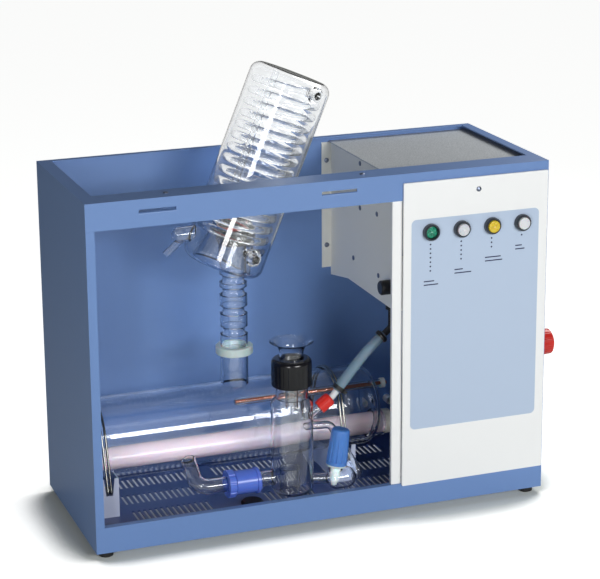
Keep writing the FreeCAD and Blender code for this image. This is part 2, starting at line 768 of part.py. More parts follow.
def reset_button():
    """Push button: its head clears the body by the travel and its stem runs in the bore."""
    under = BUTTON_TRAVEL + 0.4
    corners = [(0, -LENS_FOOT), (BUTTON_STEM_R, -LENS_FOOT), (BUTTON_STEM_R, under), (LENS_R, under),
               (LENS_R, LENS_H - 1.4), (LENS_R - 1.4, LENS_H - 0.3), (0, LENS_H)]
    bows = {4: (LENS_R - 0.4, LENS_H - 0.7), 5: dome(LENS_R - 1.4, LENS_H - 0.3, LENS_H)}
    return stood(turned(corners, bows), lamp_seat(LAMPS - 1), BACK * -1)


def feed_path():
    """Axis of the inclined feed arm: its start in the leveller and its way."""
    rise = math.radians(FEED_RISE)
    return V(LEV_X, LEV_Y, FEED_Z), V(math.cos(rise), 0, math.sin(rise))


def hose_ends():
    """Corner of the bent spout, way of the hose off it, and the hose's two end points."""
    start, way = feed_path()
    corner = start + way * SPOUT_CORNER
    leave = (V(*HOSE_POINTS[0]) - corner).normalize()
    bottom = V(ELBOW_X, ELBOW_Y, ELBOW_LOW)
    arrive = (bottom - V(*HOSE_POINTS[-1])).normalize()
    return corner, leave, corner + leave * SPOUT_BARE, bottom - arrive * (ELBOW_BEND + 3), arrive


def feed_elbow():
    """Bulkhead elbow: it stands through the housing floor and its barb looks down at the hose."""
    low = WALL_LOW + SHEET + SEAM
    bottom = V(ELBOW_X, ELBOW_Y, ELBOW_LOW)
    corner, leave, first, last, arrive = hose_ends()
    path = route([V(ELBOW_X, ELBOW_Y, low + SHEET + 6), bottom, last - arrive * BARB_IN], ELBOW_BEND)
    collar = rod(V(ELBOW_X, ELBOW_Y, WALL_LOW - 5), UP, ELBOW_R, 5)
    neck = rod(V(ELBOW_X, ELBOW_Y, WALL_LOW - 1), UP, ELBOW_NECK_R, low + SHEET - WALL_LOW + 3)
    return joined([swept(path, BARB_R), collar, neck]).cut(swept(path, BARB_R - 1.4))


def knob_shaft():
    base = V(CASE_W - SHEET - VALVE_SIZE[0] + 12, KNOB_Y, KNOB_Z)
    length = CASE_W + KNOB_OUT - 6 - base.x
    return rod(base, RIGHT, KNOB_SHAFT_R, length)


def knob():
    """Round grip with a domed nose, finger flutes and a blind bore pressed on its shaft."""
    nose = 5.0
    corners = [(0, 0), (KNOB_R - 1, 0), (KNOB_R, 1), (KNOB_R - 0.8, KNOB_H - nose), (0, KNOB_H)]
    body = turned(corners, {3: dome(KNOB_R - 0.8, KNOB_H - nose, KNOB_H)})
    cutters = []
    for index in range(KNOB_FLUTES):
        angle = 360 / KNOB_FLUTES * index
        x, y = on_arc(KNOB_R + KNOB_FLUTE_R * 0.45, angle)
        cutters.append(rod(V(x, y, 4), UP, KNOB_FLUTE_R, KNOB_H))
    cutters.append(rod(V(0, 0, -1), UP, KNOB_SHAFT_R + RUN, KNOB_H - 6 + 1))
    return stood(cut_all(body, cutters), V(CASE_W + KNOB_GAP, KNOB_Y, KNOB_Z), RIGHT)


def knob_bush():
    at = V(CASE_W - SHEET - SEAM, KNOB_Y, KNOB_Z)
    sleeve = rod(at, RIGHT, BUSH_R, SHEET + 4)
    nut = Part.Face(Part.makePolygon([V(*on_arc(NUT_R, 60 * i), 0) for i in range(7)])).extrude(UP * NUT_H)
    nut = stood(nut, V(CASE_W, KNOB_Y, KNOB_Z), RIGHT)
    return joined([sleeve, nut]).cut(rod(at - RIGHT, RIGHT, KNOB_SHAFT_R + RUN, 12))


def flow_valve():
    """Valve block inside the side panel, with its two hose ports."""
    x1 = CASE_W - SHEET - SEAM
    wide, deep, high = VALVE_SIZE
    block = box(x1 - wide, x1, KNOB_Y - deep / 2, KNOB_Y + deep / 2, KNOB_Z - high / 2, KNOB_Z + high / 2)
    edges = [edge for edge in block.Edges if abs(edge.tangentAt(0).x) > 0.9]
    block = block.makeFillet(3, edges)
    ports = rod(V(x1 - wide / 2, KNOB_Y, KNOB_Z - high / 2 - VALVE_PORT_H), UP, VALVE_PORT_R,
                high + 2 * VALVE_PORT_H)
    well = rod(V(x1 - wide + 12 - RUN, KNOB_Y, KNOB_Z), RIGHT, KNOB_SHAFT_R + RUN, wide)
    return joined([block, ports]).cut(well)


def rear_spigots():
    """Cooling water inlet and outlet: barbed tubes clamped in the back panel."""
    face = SHEET
    corners = [(SPIGOT_BORE, -12), (SPIGOT_R, -12), (SPIGOT_R, face), (SPIGOT_NUT_R, face),
               (SPIGOT_NUT_R, face + SPIGOT_FLANGE), (SPIGOT_R, face + SPIGOT_FLANGE), (SPIGOT_R, face + REAR_OUT),
               (SPIGOT_BORE, face + REAR_OUT)]
    tube = turned(corners)
    return Part.makeCompound([stood(tube, V(x, CASE_D - SHEET, SPIGOT_Z), BACK) for x in SPIGOT_X])


def mains_gland():
    """Cable gland in the back panel, left empty."""
    face = SHEET
    corners = [(3.5, -8), (GLAND_R - 2, -8), (GLAND_R - 2, face), (GLAND_R + 1, face), (GLAND_R + 1, face + 5),
               (GLAND_R - 1, face + 6), (GLAND_R - 2, face + 13), (3.5, face + 13)]
    return stood(turned(corners), V(GLAND_X, CASE_D - SHEET, SPIGOT_Z), BACK)


def drum(radius, length, crown, knuckle):
    """Closed round vessel along z with rounded ends."""
    flat = radius - knuckle
    k = knuckle * (1 - math.sqrt(0.5))
    corners = [(0, 0), (flat, crown), (radius, crown + knuckle), (radius, length - crown - knuckle),
               (flat, length - crown), (0, length)]
    bows = {0: dome(flat, crown, 0), 1: (radius - k, crown + k),
            3: (radius - k, length - crown - k), 4: dome(flat, length - crown, length)}
    return turned(corners, bows)


def arm_path():
    start = V(ARM_X, BOILER_Y, BOILER_Z)
    return route([start, V(ARM_X, ARM_Y, ARM_Z), V(ARM_END, ARM_Y, ARM_Z)], ARM_BEND)


def boiler_vessel():
    low, high = BOILER_X
    axis = V(low, BOILER_Y, BOILER_Z)
    outer = stood(drum(BOILER_R, high - low, BOILER_CROWN, BOILER_KNUCKLE), axis, RIGHT)
    inner = stood(drum(BOILER_R - BOILER_WALL, high - low - 2 * BOILER_WALL, BOILER_CROWN,
                       BOILER_KNUCKLE - BOILER_WALL), axis + RIGHT * BOILER_WALL, RIGHT)
    neck_at = V(COLUMN_X, BOILER_Y, BOILER_Z)
    nozzle_at = V(high - NOZZLE_ROOT, BOILER_Y, BOILER_Z - HEATER_DROP)
    nozzle_length = NOZZLE_ROOT + HEATER_NOZZLE_OUT
    pocket_at = V(high - NOZZLE_ROOT, BOILER_Y, BOILER_Z + POCKET_RISE)
    shell = joined([outer, rod(neck_at, UP, COLUMN_R, NECK_TOP - BOILER_Z),
                    rod(nozzle_at, RIGHT, HEATER_NOZZLE_R, nozzle_length)])
    hollow = joined([inner, rod(neck_at, UP, COLUMN_R - COLUMN_WALL, NECK_TOP - BOILER_Z + 1),
                     swept(arm_path(), ARM_R - ARM_WALL),
                     rod(nozzle_at, RIGHT, HEATER_R + SEAM, nozzle_length + 1),
                     rod(pocket_at, RIGHT, POCKET_R + SEAM, 2 * NOZZLE_ROOT)])
    return shell.cut(hollow)


def boiler_arm():
    """Drop arm that feeds the boiler from the leveller, welded to the drum's underside."""
    low, high = BOILER_X
    drum_side = rod(V(low, BOILER_Y, BOILER_Z), RIGHT, BOILER_R + SEAM, high - low)
    tube = swept(arm_path(), ARM_R).cut(swept(arm_path(), ARM_R - ARM_WALL))
    return tube.cut(drum_side)


def heater_sheath():
    low, high = HEATER_X
    length = high - low
    corners = [(0, 0), (HEATER_R, HEATER_R), (HEATER_R, length), (0, length)]
    bow = on_arc(HEATER_R, -45, (0, HEATER_R))
    return stood(turned(corners, {0: bow}), V(low, BOILER_Y, BOILER_Z - HEATER_DROP), RIGHT)


def heater_cap():
    """Terminal cap on the heater's open end, with two lead outlets."""
    at = V(HEATER_X[1], BOILER_Y, BOILER_Z - HEATER_DROP)
    corners = [(0, 0), (HEATER_CAP_R, 0), (HEATER_CAP_R, HEATER_CAP_H - 2), (HEATER_CAP_R - 2, HEATER_CAP_H),
               (0, HEATER_CAP_H)]
    cap = stood(turned(corners), at, RIGHT)
    outlets = [rod(at + V(HEATER_CAP_H - 1, 0, dz), RIGHT, 2.5, 6) for dz in (-6, 6)]
    return joined([cap] + outlets)


def thermostat_pocket():
    low, high = POCKET_X
    length = high - low
    inner = POCKET_R - POCKET_WALL
    corners = [(0, 0), (POCKET_R, POCKET_R), (POCKET_R, length), (inner, length), (inner, POCKET_R),
               (0, POCKET_R - inner)]
    bows = {0: on_arc(POCKET_R, -45, (0, POCKET_R)), 4: on_arc(inner, -45, (0, POCKET_R))}
    return stood(turned(corners, bows), V(low, BOILER_Y, BOILER_Z + POCKET_RISE), RIGHT)


def thermostat_rod():
    inner = POCKET_R - POCKET_WALL
    low = POCKET_X[0] + POCKET_R - math.sqrt(inner ** 2 - ROD_R ** 2) + ROD_CLEAR
    at = V(low, BOILER_Y, BOILER_Z + POCKET_RISE)
    return rod(at, RIGHT, ROD_R, POCKET_X[1] + ROD_OUT - low)


def pocket_plug():
    """Soft bung that holds the thermostat rod in the mouth of its pocket."""
    at = V(POCKET_X[1], BOILER_Y, BOILER_Z + POCKET_RISE)
    return pipe_piece(at, RIGHT, POCKET_R + 1.5, ROD_R + RUN, 5)


def saddle(x, web_x):
    """Folded bracket: a cradle cut to the boiler, and two notched flanges for the straps."""
    y0, y1 = SADDLE_Y
    top = TRAY_TOP + SADDLE_H
    web = box(web_x, web_x + SHEET, y0, y1, TRAY_TOP, top)
    web = web.cut(rod(V(web_x - 1, BOILER_Y, BOILER_Z), RIGHT, BOILER_R + CRADLE_GAP, SHEET + 2))
    foot = box(x, x + SADDLE_W, y0, y1, TRAY_TOP, TRAY_TOP + SHEET)
    flanges = []
    middle = x + SADDLE_W / 2
    for y in (y0, y1 - SHEET):
        corners = [(x, TRAY_TOP), (x + SADDLE_W, TRAY_TOP), (x + SADDLE_W, top),
                   (middle + NOTCH_TOP / 2, top), (middle + NOTCH_LOW / 2, top - NOTCH_DEEP),
                   (middle - NOTCH_LOW / 2, top - NOTCH_DEEP), (middle - NOTCH_TOP / 2, top), (x, top)]
        flange = outline(corners).extrude(BACK * SHEET)
        flange.translate(V(0, y, 0))
        flanges.append(flange)
    return joined([web, foot] + flanges)


def boiler_radius_at(x):
    """Outer radius of the boiler at a place along it, counting its left knuckle."""
    inward = x - BOILER_X[0] - BOILER_CROWN
    if inward >= BOILER_KNUCKLE:
        return BOILER_R
    return BOILER_R - BOILER_KNUCKLE + math.sqrt(BOILER_KNUCKLE ** 2 - (BOILER_KNUCKLE - inward) ** 2)


def strap_path(loop):
    """Half a strap's run in the (y, z) plane: hook tip, hook corners and the tangent to the boiler."""
    y_front = SADDLE_Y[0] - WIRE_R - WIRE_CLEAR
    z_hook = TRAY_TOP + SADDLE_H - NOTCH_DEEP + WIRE_R + WIRE_CLEAR
    dy = BOILER_Y - y_front
    dz = BOILER_Z - z_hook
    span = math.hypot(dy, dz)
    aim = math.atan2(dz, dy) + math.asin(loop / span)
    reach = math.sqrt(span * span - loop * loop)
    touch = (y_front + reach * math.cos(aim), z_hook + reach * math.sin(aim))
    inside = y_front + WIRE_R + SHEET + WIRE_CLEAR + HOOK_BACK
    return [(inside, z_hook + HOOK_UP), (inside, z_hook), (y_front, z_hook), touch]


def strap(x):
    """Two spring wires that hook in both notches of a saddle and cross over the boiler."""
    wires = []
    for side in (-1, 1):
        wx = x + SADDLE_W / 2 + side * (WIRE_R + WIRE_GAP / 2)
        loop = boiler_radius_at(wx + WIRE_R) + WIRE_CLEAR + WIRE_R
        half = strap_path(loop)
        front = [V(wx, y, z) for y, z in half]
        rear = [V(wx, 2 * BOILER_Y - y, z) for y, z in reversed(half)]
        down = route(front, HOOK_BEND)
        up = route(rear, HOOK_BEND)
        over = Part.Arc(front[-1], V(wx, BOILER_Y, BOILER_Z + loop), rear[0]).toShape()
        path = Part.Wire(down.Edges + [over] + up.Edges)
        wires.append(swept(path, WIRE_R))
    return Part.makeCompound(wires)


def neck_collar():
    at = V(COLUMN_X, BOILER_Y, NECK_TOP - COLLAR_H / 2)
    bore = COLUMN_R + RUN
    corners = [(bore, 0), (COLLAR_R - 1, 0), (COLLAR_R, 1), (COLLAR_R, COLLAR_H - 1), (COLLAR_R - 1, COLLAR_H),
               (bore, COLLAR_H)]
    return stood(turned(corners), at, UP)


def column_tube():
    """Steam column with pinched rings, ending in a ball seat grooved for the seal."""
    r = COLUMN_R
    low = NECK_TOP + SEAM
    ball_low = PIVOT_Z - math.sqrt(BALL_R ** 2 - r ** 2)
    ball_top = PIVOT_Z + math.sqrt(BALL_R ** 2 - BALL_TOP_R ** 2)
    corners = [(r - COLUMN_WALL, low), (r, low)]
    bows = {}
    for z in PINCH_Z:
        bows[len(corners)] = (r - PINCH_DEEP, z)
        corners += [(r, z - PINCH_R), (r, z + PINCH_R)]
    bows[len(corners)] = on_arc(BALL_R, 0, (0, PIVOT_Z))
    corners += [(r, ball_low), (BALL_TOP_R, ball_top), (BALL_TOP_R - COLUMN_WALL, ball_top)]
    bows[len(corners) - 1] = (r - COLUMN_WALL - 0.5, PIVOT_Z + 3)
    corners.append((r - COLUMN_WALL, ball_low))
    for z in reversed(PINCH_Z):
        bows[len(corners)] = (r - COLUMN_WALL - PINCH_DEEP, z)
        corners += [(r - COLUMN_WALL, z + PINCH_R), (r - COLUMN_WALL, z - PINCH_R)]
    tube = turned(corners, bows)
    groove_r = math.sqrt(BALL_R ** 2 - SEAL_UP ** 2)
    groove = Part.makeTorus(groove_r, SEAL_WIRE + RUN, V(0, 0, PIVOT_Z + SEAL_UP))
    return stood(tube.cut(groove), V(COLUMN_X, BOILER_Y, 0), UP)


def seal_ring():
    groove_r = math.sqrt(BALL_R ** 2 - SEAL_UP ** 2)
    return Part.makeTorus(groove_r, SEAL_WIRE, PIVOT + UP * SEAL_UP)


def leaned(shape):
    """Shape drawn upright about the seat's middle, leaned as it rests."""
    moved = shape.copy()
    moved.rotate(V(), BACK, LEAN)
    moved.translate(PIVOT)
    return moved


def liner_radius():
    return BALL_R + SEAL_WIRE + LINER_GAP


def socket_liner():
    """Smooth plastic liner of the condenser's socket, which rides on the column's ball."""
    a = liner_radius()
    b = a + LINER_T
    za = math.sqrt(a * a - LINER_HOLE ** 2)
    zb = math.sqrt(b * b - LINER_HOLE ** 2)
    corners = [(a, -LINER_SKIRT), (b, -LINER_SKIRT), (b, 0), (LINER_HOLE, zb), (LINER_HOLE, za), (a, 0)]
    bows = {2: on_arc(b, 35), 4: on_arc(a, 35)}
    return leaned(turned(corners, bows))


def skirt_radius():
    """The skirt's rim just clears the column at the resting lean, and so stops it there."""
    lean = math.radians(LEAN)
    return -JAR_LOW * math.tan(lean) + COLUMN_R / math.cos(lean) + STOP_GAP


def jar_profile():
    """Closed jar with a bell neck that rises inside it from the bottom."""
    t = JAR_WALL
    k = JAR_KNUCKLE
    seat = liner_radius() + LINER_T + LINER_GAP
    cap = seat + NECK_WALL
    rim = skirt_radius()
    z_in = math.sqrt(seat * seat - NECK_HOLE ** 2)
    z_out = math.sqrt(cap * cap - NECK_HOLE ** 2)
    f = math.sqrt(0.5)
    low, high = JAR_LOW, JAR_TOP
    corners = [(rim, low), (JAR_R - k, low), (JAR_R, low + k), (JAR_R, high - k), (JAR_R - k, high), (0, high),
               (0, high - t), (JAR_R - k, high - t), (JAR_R - t, high - k), (JAR_R - t, low + k),
               (JAR_R - k, low + t), (rim + NECK_WALL + 2, low + t), (cap, 0), (NECK_HOLE, z_out),
               (NECK_HOLE, z_in), (seat, 0)]
    if corners[11][0] > corners[10][0]:
        corners[11] = (corners[10][0] - 0.2, low + t)
    bows = {1: (JAR_R - k + k * f, low + k - k * f), 3: (JAR_R - k + k * f, high - k + k * f),
            7: (JAR_R - k + (k - t) * f, high - k + (k - t) * f),
            9: (JAR_R - k + (k - t) * f, low + k - (k - t) * f), 12: on_arc(cap, 35), 14: on_arc(seat, 35)}
    return corners, bows


def stub_way():
    angle = math.radians(STUB_TURN)
    return V(math.sin(angle), -math.cos(angle), 0)


def drain_way():
    angle = math.radians(DRAIN_DROP)
    return V(-math.cos(angle), 0, -math.sin(angle))


def stub_shapes():
    """Olive-shaped hose stubs on the jar's front, and the bores that run through them."""
    way = stub_way()
    olive = [(0, 0), (STUB_R, 0), (STUB_R, 6), (STUB_OLIVE, 10), (STUB_OLIVE - 1.5, STUB_OUT - 0.5),
             (STUB_R, STUB_OUT + JAR_WALL), (0, STUB_OUT + JAR_WALL)]
    stubs = []
    bores = []
    for z in (STUB_UP, STUB_LOW):
        at = V(0, 0, z) + way * (JAR_R - JAR_WALL)
        stubs.append(stood(turned(olive, {3: (STUB_OLIVE + 0.1, 11.5)}), at, way))
        bores.append(rod(V(0, 0, z) + way * (COIL_R + 2), way, COIL_TUBE + 2 * RUN, STUB_OUT + STUB_BORE_ON))
    return stubs, bores


def drain_shapes():
    """Side arm that collects the distillate, its slanting spout, and the bore through both."""
    down = drain_way()
    root = V(-JAR_R + 6, 0, DRAIN_UP)
    tip = root + down * DRAIN_LEN
    lean = math.radians(NOZZLE_LEAN)
    drop = V(-math.sin(lean), 0, -math.cos(lean))
    nozzle_at = root + down * NOZZLE_AT
    bore_r = DRAIN_R - DRAIN_WALL
    drain = [rod(root, down, DRAIN_R, DRAIN_LEN), Part.makeSphere(DRAIN_R, tip),
             rod(nozzle_at, drop, NOZZLE_R, NOZZLE_LEN)]
    bores = [rod(root - down * 2, down, bore_r, DRAIN_LEN + 2), Part.makeSphere(bore_r, tip),
             rod(nozzle_at, drop, NOZZLE_R - NOZZLE_WALL, NOZZLE_LEN + 2)]
    return joined(drain), joined(bores)


def condenser_shell():
    corners, bows = jar_profile()
    stubs, stub_bores = stub_shapes()
    drain, drain_bore = drain_shapes()
    core = Part.makeCylinder(JAR_R - 2 * JAR_WALL, DRAIN_CORE_H, V(0, 0, JAR_LOW + 1))
    holes = [bore.cut(core) for bore in stub_bores + [drain_bore]]
    return leaned(cut_all(turned(corners, bows), holes))


def condenser_fittings():
    """The two hose stubs and the drain arm, each welded to the jar's side."""
    stubs, stub_bores = stub_shapes()
    drain, drain_bore = drain_shapes()
    jar = Part.makeCylinder(JAR_R + SEAM, JAR_TOP - JAR_LOW, V(0, 0, JAR_LOW))
    parts = [cut_all(stub, stub_bores + [jar]) for stub in stubs]
    parts.append(cut_all(drain, [drain_bore, jar]))
    return leaned(Part.makeCompound(parts))


def coil_path():
    """Coil's path: in through the lower stub, up the turns and out through the upper stub."""
    out = stub_way()
    angle = math.atan2(out.y, out.x)
    lead = math.radians(COIL_LEAD)
    turns = COIL_TURNS - 2 * COIL_LEAD / 360
    pitch = (STUB_UP - STUB_LOW - 2 * COIL_LEAD_RISE) / turns
    first = angle + lead
    last = first + turns * 2 * math.pi
    low = STUB_LOW + COIL_LEAD_RISE - pitch * first / (2 * math.pi)
    reach = JAR_R - JAR_WALL + STUB_OUT
    bottom = V(0, 0, STUB_LOW)
    top = V(0, 0, STUB_UP)
    inner = JAR_R - 2 * JAR_WALL
    edges = [Part.LineSegment(bottom + out * reach, bottom + out * inner).toShape()]
    edges += biarc(bottom + out * inner, out * -1, helix_point(COIL_R, pitch, low, first),
                   helix_way(COIL_R, pitch, first))
    edges += helix_edges(COIL_R, pitch, low, first, turns)
    edges += biarc(helix_point(COIL_R, pitch, low, last), helix_way(COIL_R, pitch, last),
                   top + out * inner, out)
    edges.append(Part.LineSegment(top + out * inner, top + out * reach).toShape())
    return Part.Wire(edges)


def condenser_coil():
    """Glass coil, one tube from stub to stub, and the vent tube that hangs from the roof inside it."""
    path = coil_path()
    least_loop_gap("condenser coil", path, 2 * COIL_TUBE)
    top = JAR_TOP - JAR_WALL
    vent = pipe_piece(V(-VENT_AT, 0, VENT_LOW), UP, VENT_R, VENT_R - 1, top - VENT_LOW)
    return leaned(Part.makeCompound([swept(path, COIL_TUBE), vent]))


def leveller_vessel():
    low, sh, neck_low, top = LEV_LOW, LEV_SHOULDER, LEV_NECK_LOW, LEV_NECK_TOP
    r, n, k, t = LEV_R, LEV_NECK_R, LEV_FOOT_R, LEV_WALL
    f = math.sqrt(0.5)
    outer = turned([(0, low), (r - k, low), (r, low + k), (r, sh), (n, neck_low), (n, top), (0, top)],
                   {1: (r - k + k * f, low + k - k * f), 3: (r - 1.0, sh + 5.5)})
    inner = turned([(0, low + t), (r - k, low + t), (r - t, low + k), (r - t, sh), (n - t, neck_low),
                    (n - t, top + 1), (0, top + 1)],
                   {1: (r - k + (k - t) * f, low + k - (k - t) * f), 3: (r - t - 1.0, sh + 5.5)})
    centre = V(LEV_X, LEV_Y, 0)
    outer = stood(outer, centre, UP)
    inner = stood(inner, centre, UP)
    left_at = V(ARM_END + 3, ARM_Y, ARM_Z)
    left = rod(left_at, RIGHT, ARM_R, LEV_X - left_at.x)
    left_bore = rod(left_at - RIGHT, RIGHT, ARM_R - ARM_WALL, LEV_X - left_at.x + 1)
    feed_at, feed_way = feed_path()
    feed = rod(feed_at, feed_way, FEED_R, FEED_END)
    feed_bore = rod(feed_at, feed_way, FEED_R - FEED_WALL, FEED_END + 1)
    shell = joined([outer, left, feed, tap_shell(0)])
    return shell.cut(joined([inner, left_bore, feed_bore, tap_shell(TAP_WALL)]))


def tap_axis():
    lean = math.radians(TAP_LEAN)
    return V(STEM_X, TAP_Y, LEV_LOW), V(math.sin(lean), 0, math.cos(lean))


def tap_shell(inset):
    """Drain limb: side arm, bulb and stem barrel, all drawn in by the inset."""
    half = TAP_BULB_L / 2
    end = TAP_BULB_R
    r = end - inset
    bulb = turned([(0, inset), (r, end), (r, TAP_BULB_L - end), (0, TAP_BULB_L - inset)],
                  {0: on_arc(r, -45, (0, end)), 2: on_arc(r, 45, (0, TAP_BULB_L - end))})
    bulb = stood(bulb, V(TAP_X - half, TAP_Y, TAP_Z), RIGHT)
    arm_start = V(LEV_X, LEV_Y - 3, TAP_Z + 4)
    arm_end = V(TAP_X - half + 6, TAP_Y, TAP_Z + 1)
    arm = rod(arm_start, arm_end - arm_start, 6.5 - inset, (arm_end - arm_start).Length)
    foot, way = tap_axis()
    extra = 2 if inset > 0 else 0
    bore = STEM_R + RUN if inset > 0 else BARREL_R - inset
    barrel = rod(foot + way * 12, way, bore, BARREL_TOP - 12 + extra)
    return joined([bulb, arm, barrel])


def leveller_standpipe():
    at = V(LEV_X - 3, LEV_Y, LEV_LOW + LEV_WALL)
    return pipe_piece(at, UP, STAND_R, STAND_R - 1.4, STAND_TOP - at.z)


def cap_seal():
    at = V(LEV_X, LEV_Y, LEV_NECK_TOP + SEAM)
    return pipe_piece(at, UP, LEV_NECK_R, FUNNEL_STEM + SEAM, SEAL_T)


def leveller_cap():
    """Screw cap: hollow, chamfered, with finger ribs and a hole for the funnel."""
    inner = LEV_NECK_R + RUN
    ceiling = LEV_NECK_TOP + SEAL_T + FUNNEL_FLANGE_T + 3 * SEAM
    corners = [(inner, CAP_LOW), (CAP_R - 1, CAP_LOW), (CAP_R, CAP_LOW + 1), (CAP_R, CAP_TOP - CAP_CHAMFER),
               (CAP_R - CAP_CHAMFER, CAP_TOP), (CAP_HOLE, CAP_TOP), (CAP_HOLE, ceiling), (inner, ceiling)]
    cap = turned(corners, {3: (CAP_R - CAP_CHAMFER * 0.32, CAP_TOP - CAP_CHAMFER * 0.32)})
    cutters = []
    for index in range(CAP_GRIPS):
        x, y = on_arc(CAP_R + 0.9, 360 / CAP_GRIPS * index)
        cutters.append(rod(V(x, y, CAP_LOW + 3), UP, 1.2, CAP_TOP - CAP_LOW - CAP_CHAMFER - 4))
    return stood(cut_all(cap, cutters), V(LEV_X, LEV_Y, 0), UP)


def overflow_funnel():
    """Thistle funnel: cup above the cap, shoulder on the seal, stem down into the vessel."""
    t = FUNNEL_WALL
    seat = LEV_NECK_TOP + SEAL_T + 2 * SEAM
    n, s, rim, top = FUNNEL_NECK, FUNNEL_STEM, FUNNEL_RIM, FUNNEL_TOP
    f, h = FUNNEL_FLANGE_R, FUNNEL_FLANGE_T
    corners = [(s - t, FUNNEL_LOW), (s, FUNNEL_LOW), (s, seat), (f, seat), (f, seat + h), (n, seat + h),
               (n, seat + FUNNEL_NECK_UP), (rim, top), (rim - t, top), (n - t, seat + FUNNEL_NECK_UP),
               (n - t, seat + h), (s - t, seat + h)]
    bows = {6: (n + 2.6, seat + FUNNEL_BOW_UP), 8: (n + 0.9, seat + FUNNEL_BOW_UP)}
    return stood(turned(corners, bows), V(LEV_X, LEV_Y, 0), UP)


def red_cap():
    """Small screw cap that clamps the feed spout; it turns on the feed arm."""
    at, way = feed_path()
    inner = FEED_R + RUN
    corners = [(inner, 0), (RED_R, 0), (RED_R, RED_LEN - 2), (RED_R - 2, RED_LEN), (RED_HOLE, RED_LEN),
               (RED_HOLE, RED_LEN - RED_ROOF), (inner, RED_LEN - RED_ROOF)]
    cap = turned(corners)
    cutters = []
    for index in range(12):
        x, y = on_arc(RED_R + 0.5, 30 * index)
        cutters.append(rod(V(x, y, 2), UP, 1.0, RED_LEN - 6))
    return stood(cut_all(cap, cutters), at + way * (RED_AT - RED_LEN / 2 + 2), way)


def feed_spout():
    """Bent spout between the feed arm and the hose; its flange is held by the red cap."""
    at, way = feed_path()
    corner, leave, first, last, arrive = hose_ends()
    start = at + way * (FEED_END + SEAM)
    path = route([start, corner, first + leave * BARB_IN], SPOUT_BEND)
    roof = RED_AT + RED_LEN / 2 + 2 - RED_ROOF
    flange = rod(start, way, FEED_R - 0.2, roof - RUN - FEED_END - SEAM)
    return joined([swept(path, BARB_R), flange]).cut(swept(path, BARB_R - 1.4))


def hose_path():
    corner, leave, first, last, arrive = hose_ends()
    points = [first] + [V(*p) for p in HOSE_POINTS] + [last]
    bends = []
    for index in range(1, len(points) - 1):
        before = points[index] - points[index - 1]
        after = points[index + 1] - points[index]
        turn = before.getAngle(after)
        bends.append(0.45 * min(before.Length, after.Length) / math.tan(turn / 2))
    print("feed hose bend radii", [round(b) for b in bends])
    return route(points, bends)


def feed_hose():
    path = hose_path()
    outer = swept(path, HOSE_R)
    want = math.pi * HOSE_R ** 2 * path.Length
    print("feed hose volume over section times length", round(outer.Volume / want, 4))
    print("feed hose length", round(path.Length, 1))
    return outer.cut(swept(path, BARB_R + SEAM))


def hose_clip():
    """Spring clip round the hose where it grips the spout, with its two ears."""
    corner, leave, first, last, arrive = hose_ends()
    bore = HOSE_R + SEAM
    band = turned([(bore, 0), (CLIP_R, 0), (CLIP_R, CLIP_W), (bore, CLIP_W)])
    ears = [box(CLIP_R - 1, CLIP_R + 4, y, y + 2, 0.5, CLIP_W - 0.5) for y in (-3, 1)]
    return stood(joined([band] + ears), first + leave * 1.5, leave)


def elbow_ring():
    """Black ring that clamps the hose on the elbow's barb."""
    corner, leave, first, last, arrive = hose_ends()
    bore = HOSE_R + SEAM
    ring = turned([(bore, 0), (CLIP_R, 0), (CLIP_R + 0.8, 2.5), (CLIP_R, 5), (bore, 5)])
    return stood(ring, last - arrive * 6.5, arrive)


def coupling_sleeve():
    """Plastic sleeve over the two glass arms, with a bead at its far end."""
    x0, x1 = SLEEVE_X
    length = x1 - x0
    bore = ARM_R + ARM_FIT
    corners = [(bore, 0), (SLEEVE_R - 1.5, 0), (SLEEVE_R - 1.5, NUT_RING_W + 1), (SLEEVE_R, NUT_RING_W + 1.5),
               (SLEEVE_R, length - 5), (SLEEVE_R + 1.4, length - 4.5), (SLEEVE_R + 1.4, length - 1.5),
               (SLEEVE_R, length), (bore, length)]
    return stood(turned(corners), V(x0, ARM_Y, ARM_Z), RIGHT)


def coupling_nut():
    """Lobed ring nut that turns on the sleeve's left end."""
    ring = turned([(SLEEVE_R - 1.5 + RUN, 0), (NUT_RING_R, 0), (NUT_RING_R, NUT_RING_W),
                   (SLEEVE_R - 1.5 + RUN, NUT_RING_W)])
    cutters = []
    for index in range(10):
        x, y = on_arc(NUT_RING_R + 1.6, 36 * index)
        cutters.append(rod(V(x, y, -1), UP, 2.4, NUT_RING_W + 2))
    return stood(cut_all(ring, cutters), V(SLEEVE_X[0], ARM_Y, ARM_Z), RIGHT)


def tap_stem():
    """White stem: a tapered tip in the barrel and a shoulder under the handle."""
    foot, way = tap_axis()
    high = STEM_UP + TAP_TRAVEL
    corners = [(0, STEM_LOW), (STEM_R * 0.45, STEM_LOW), (STEM_R, STEM_LOW + 8), (STEM_R, high + 6),
               (3.0, high + 6), (3.0, high + STEM_PIN), (0, high + STEM_PIN)]
    return stood(turned(corners), foot, way)


def tap_ring():
    foot, way = tap_axis()
    at = foot + way * (STEM_UP - RING_H)
    return pipe_piece(at, way, HANDLE_R[0] - 0.4, STEM_R + RUN, RING_H)


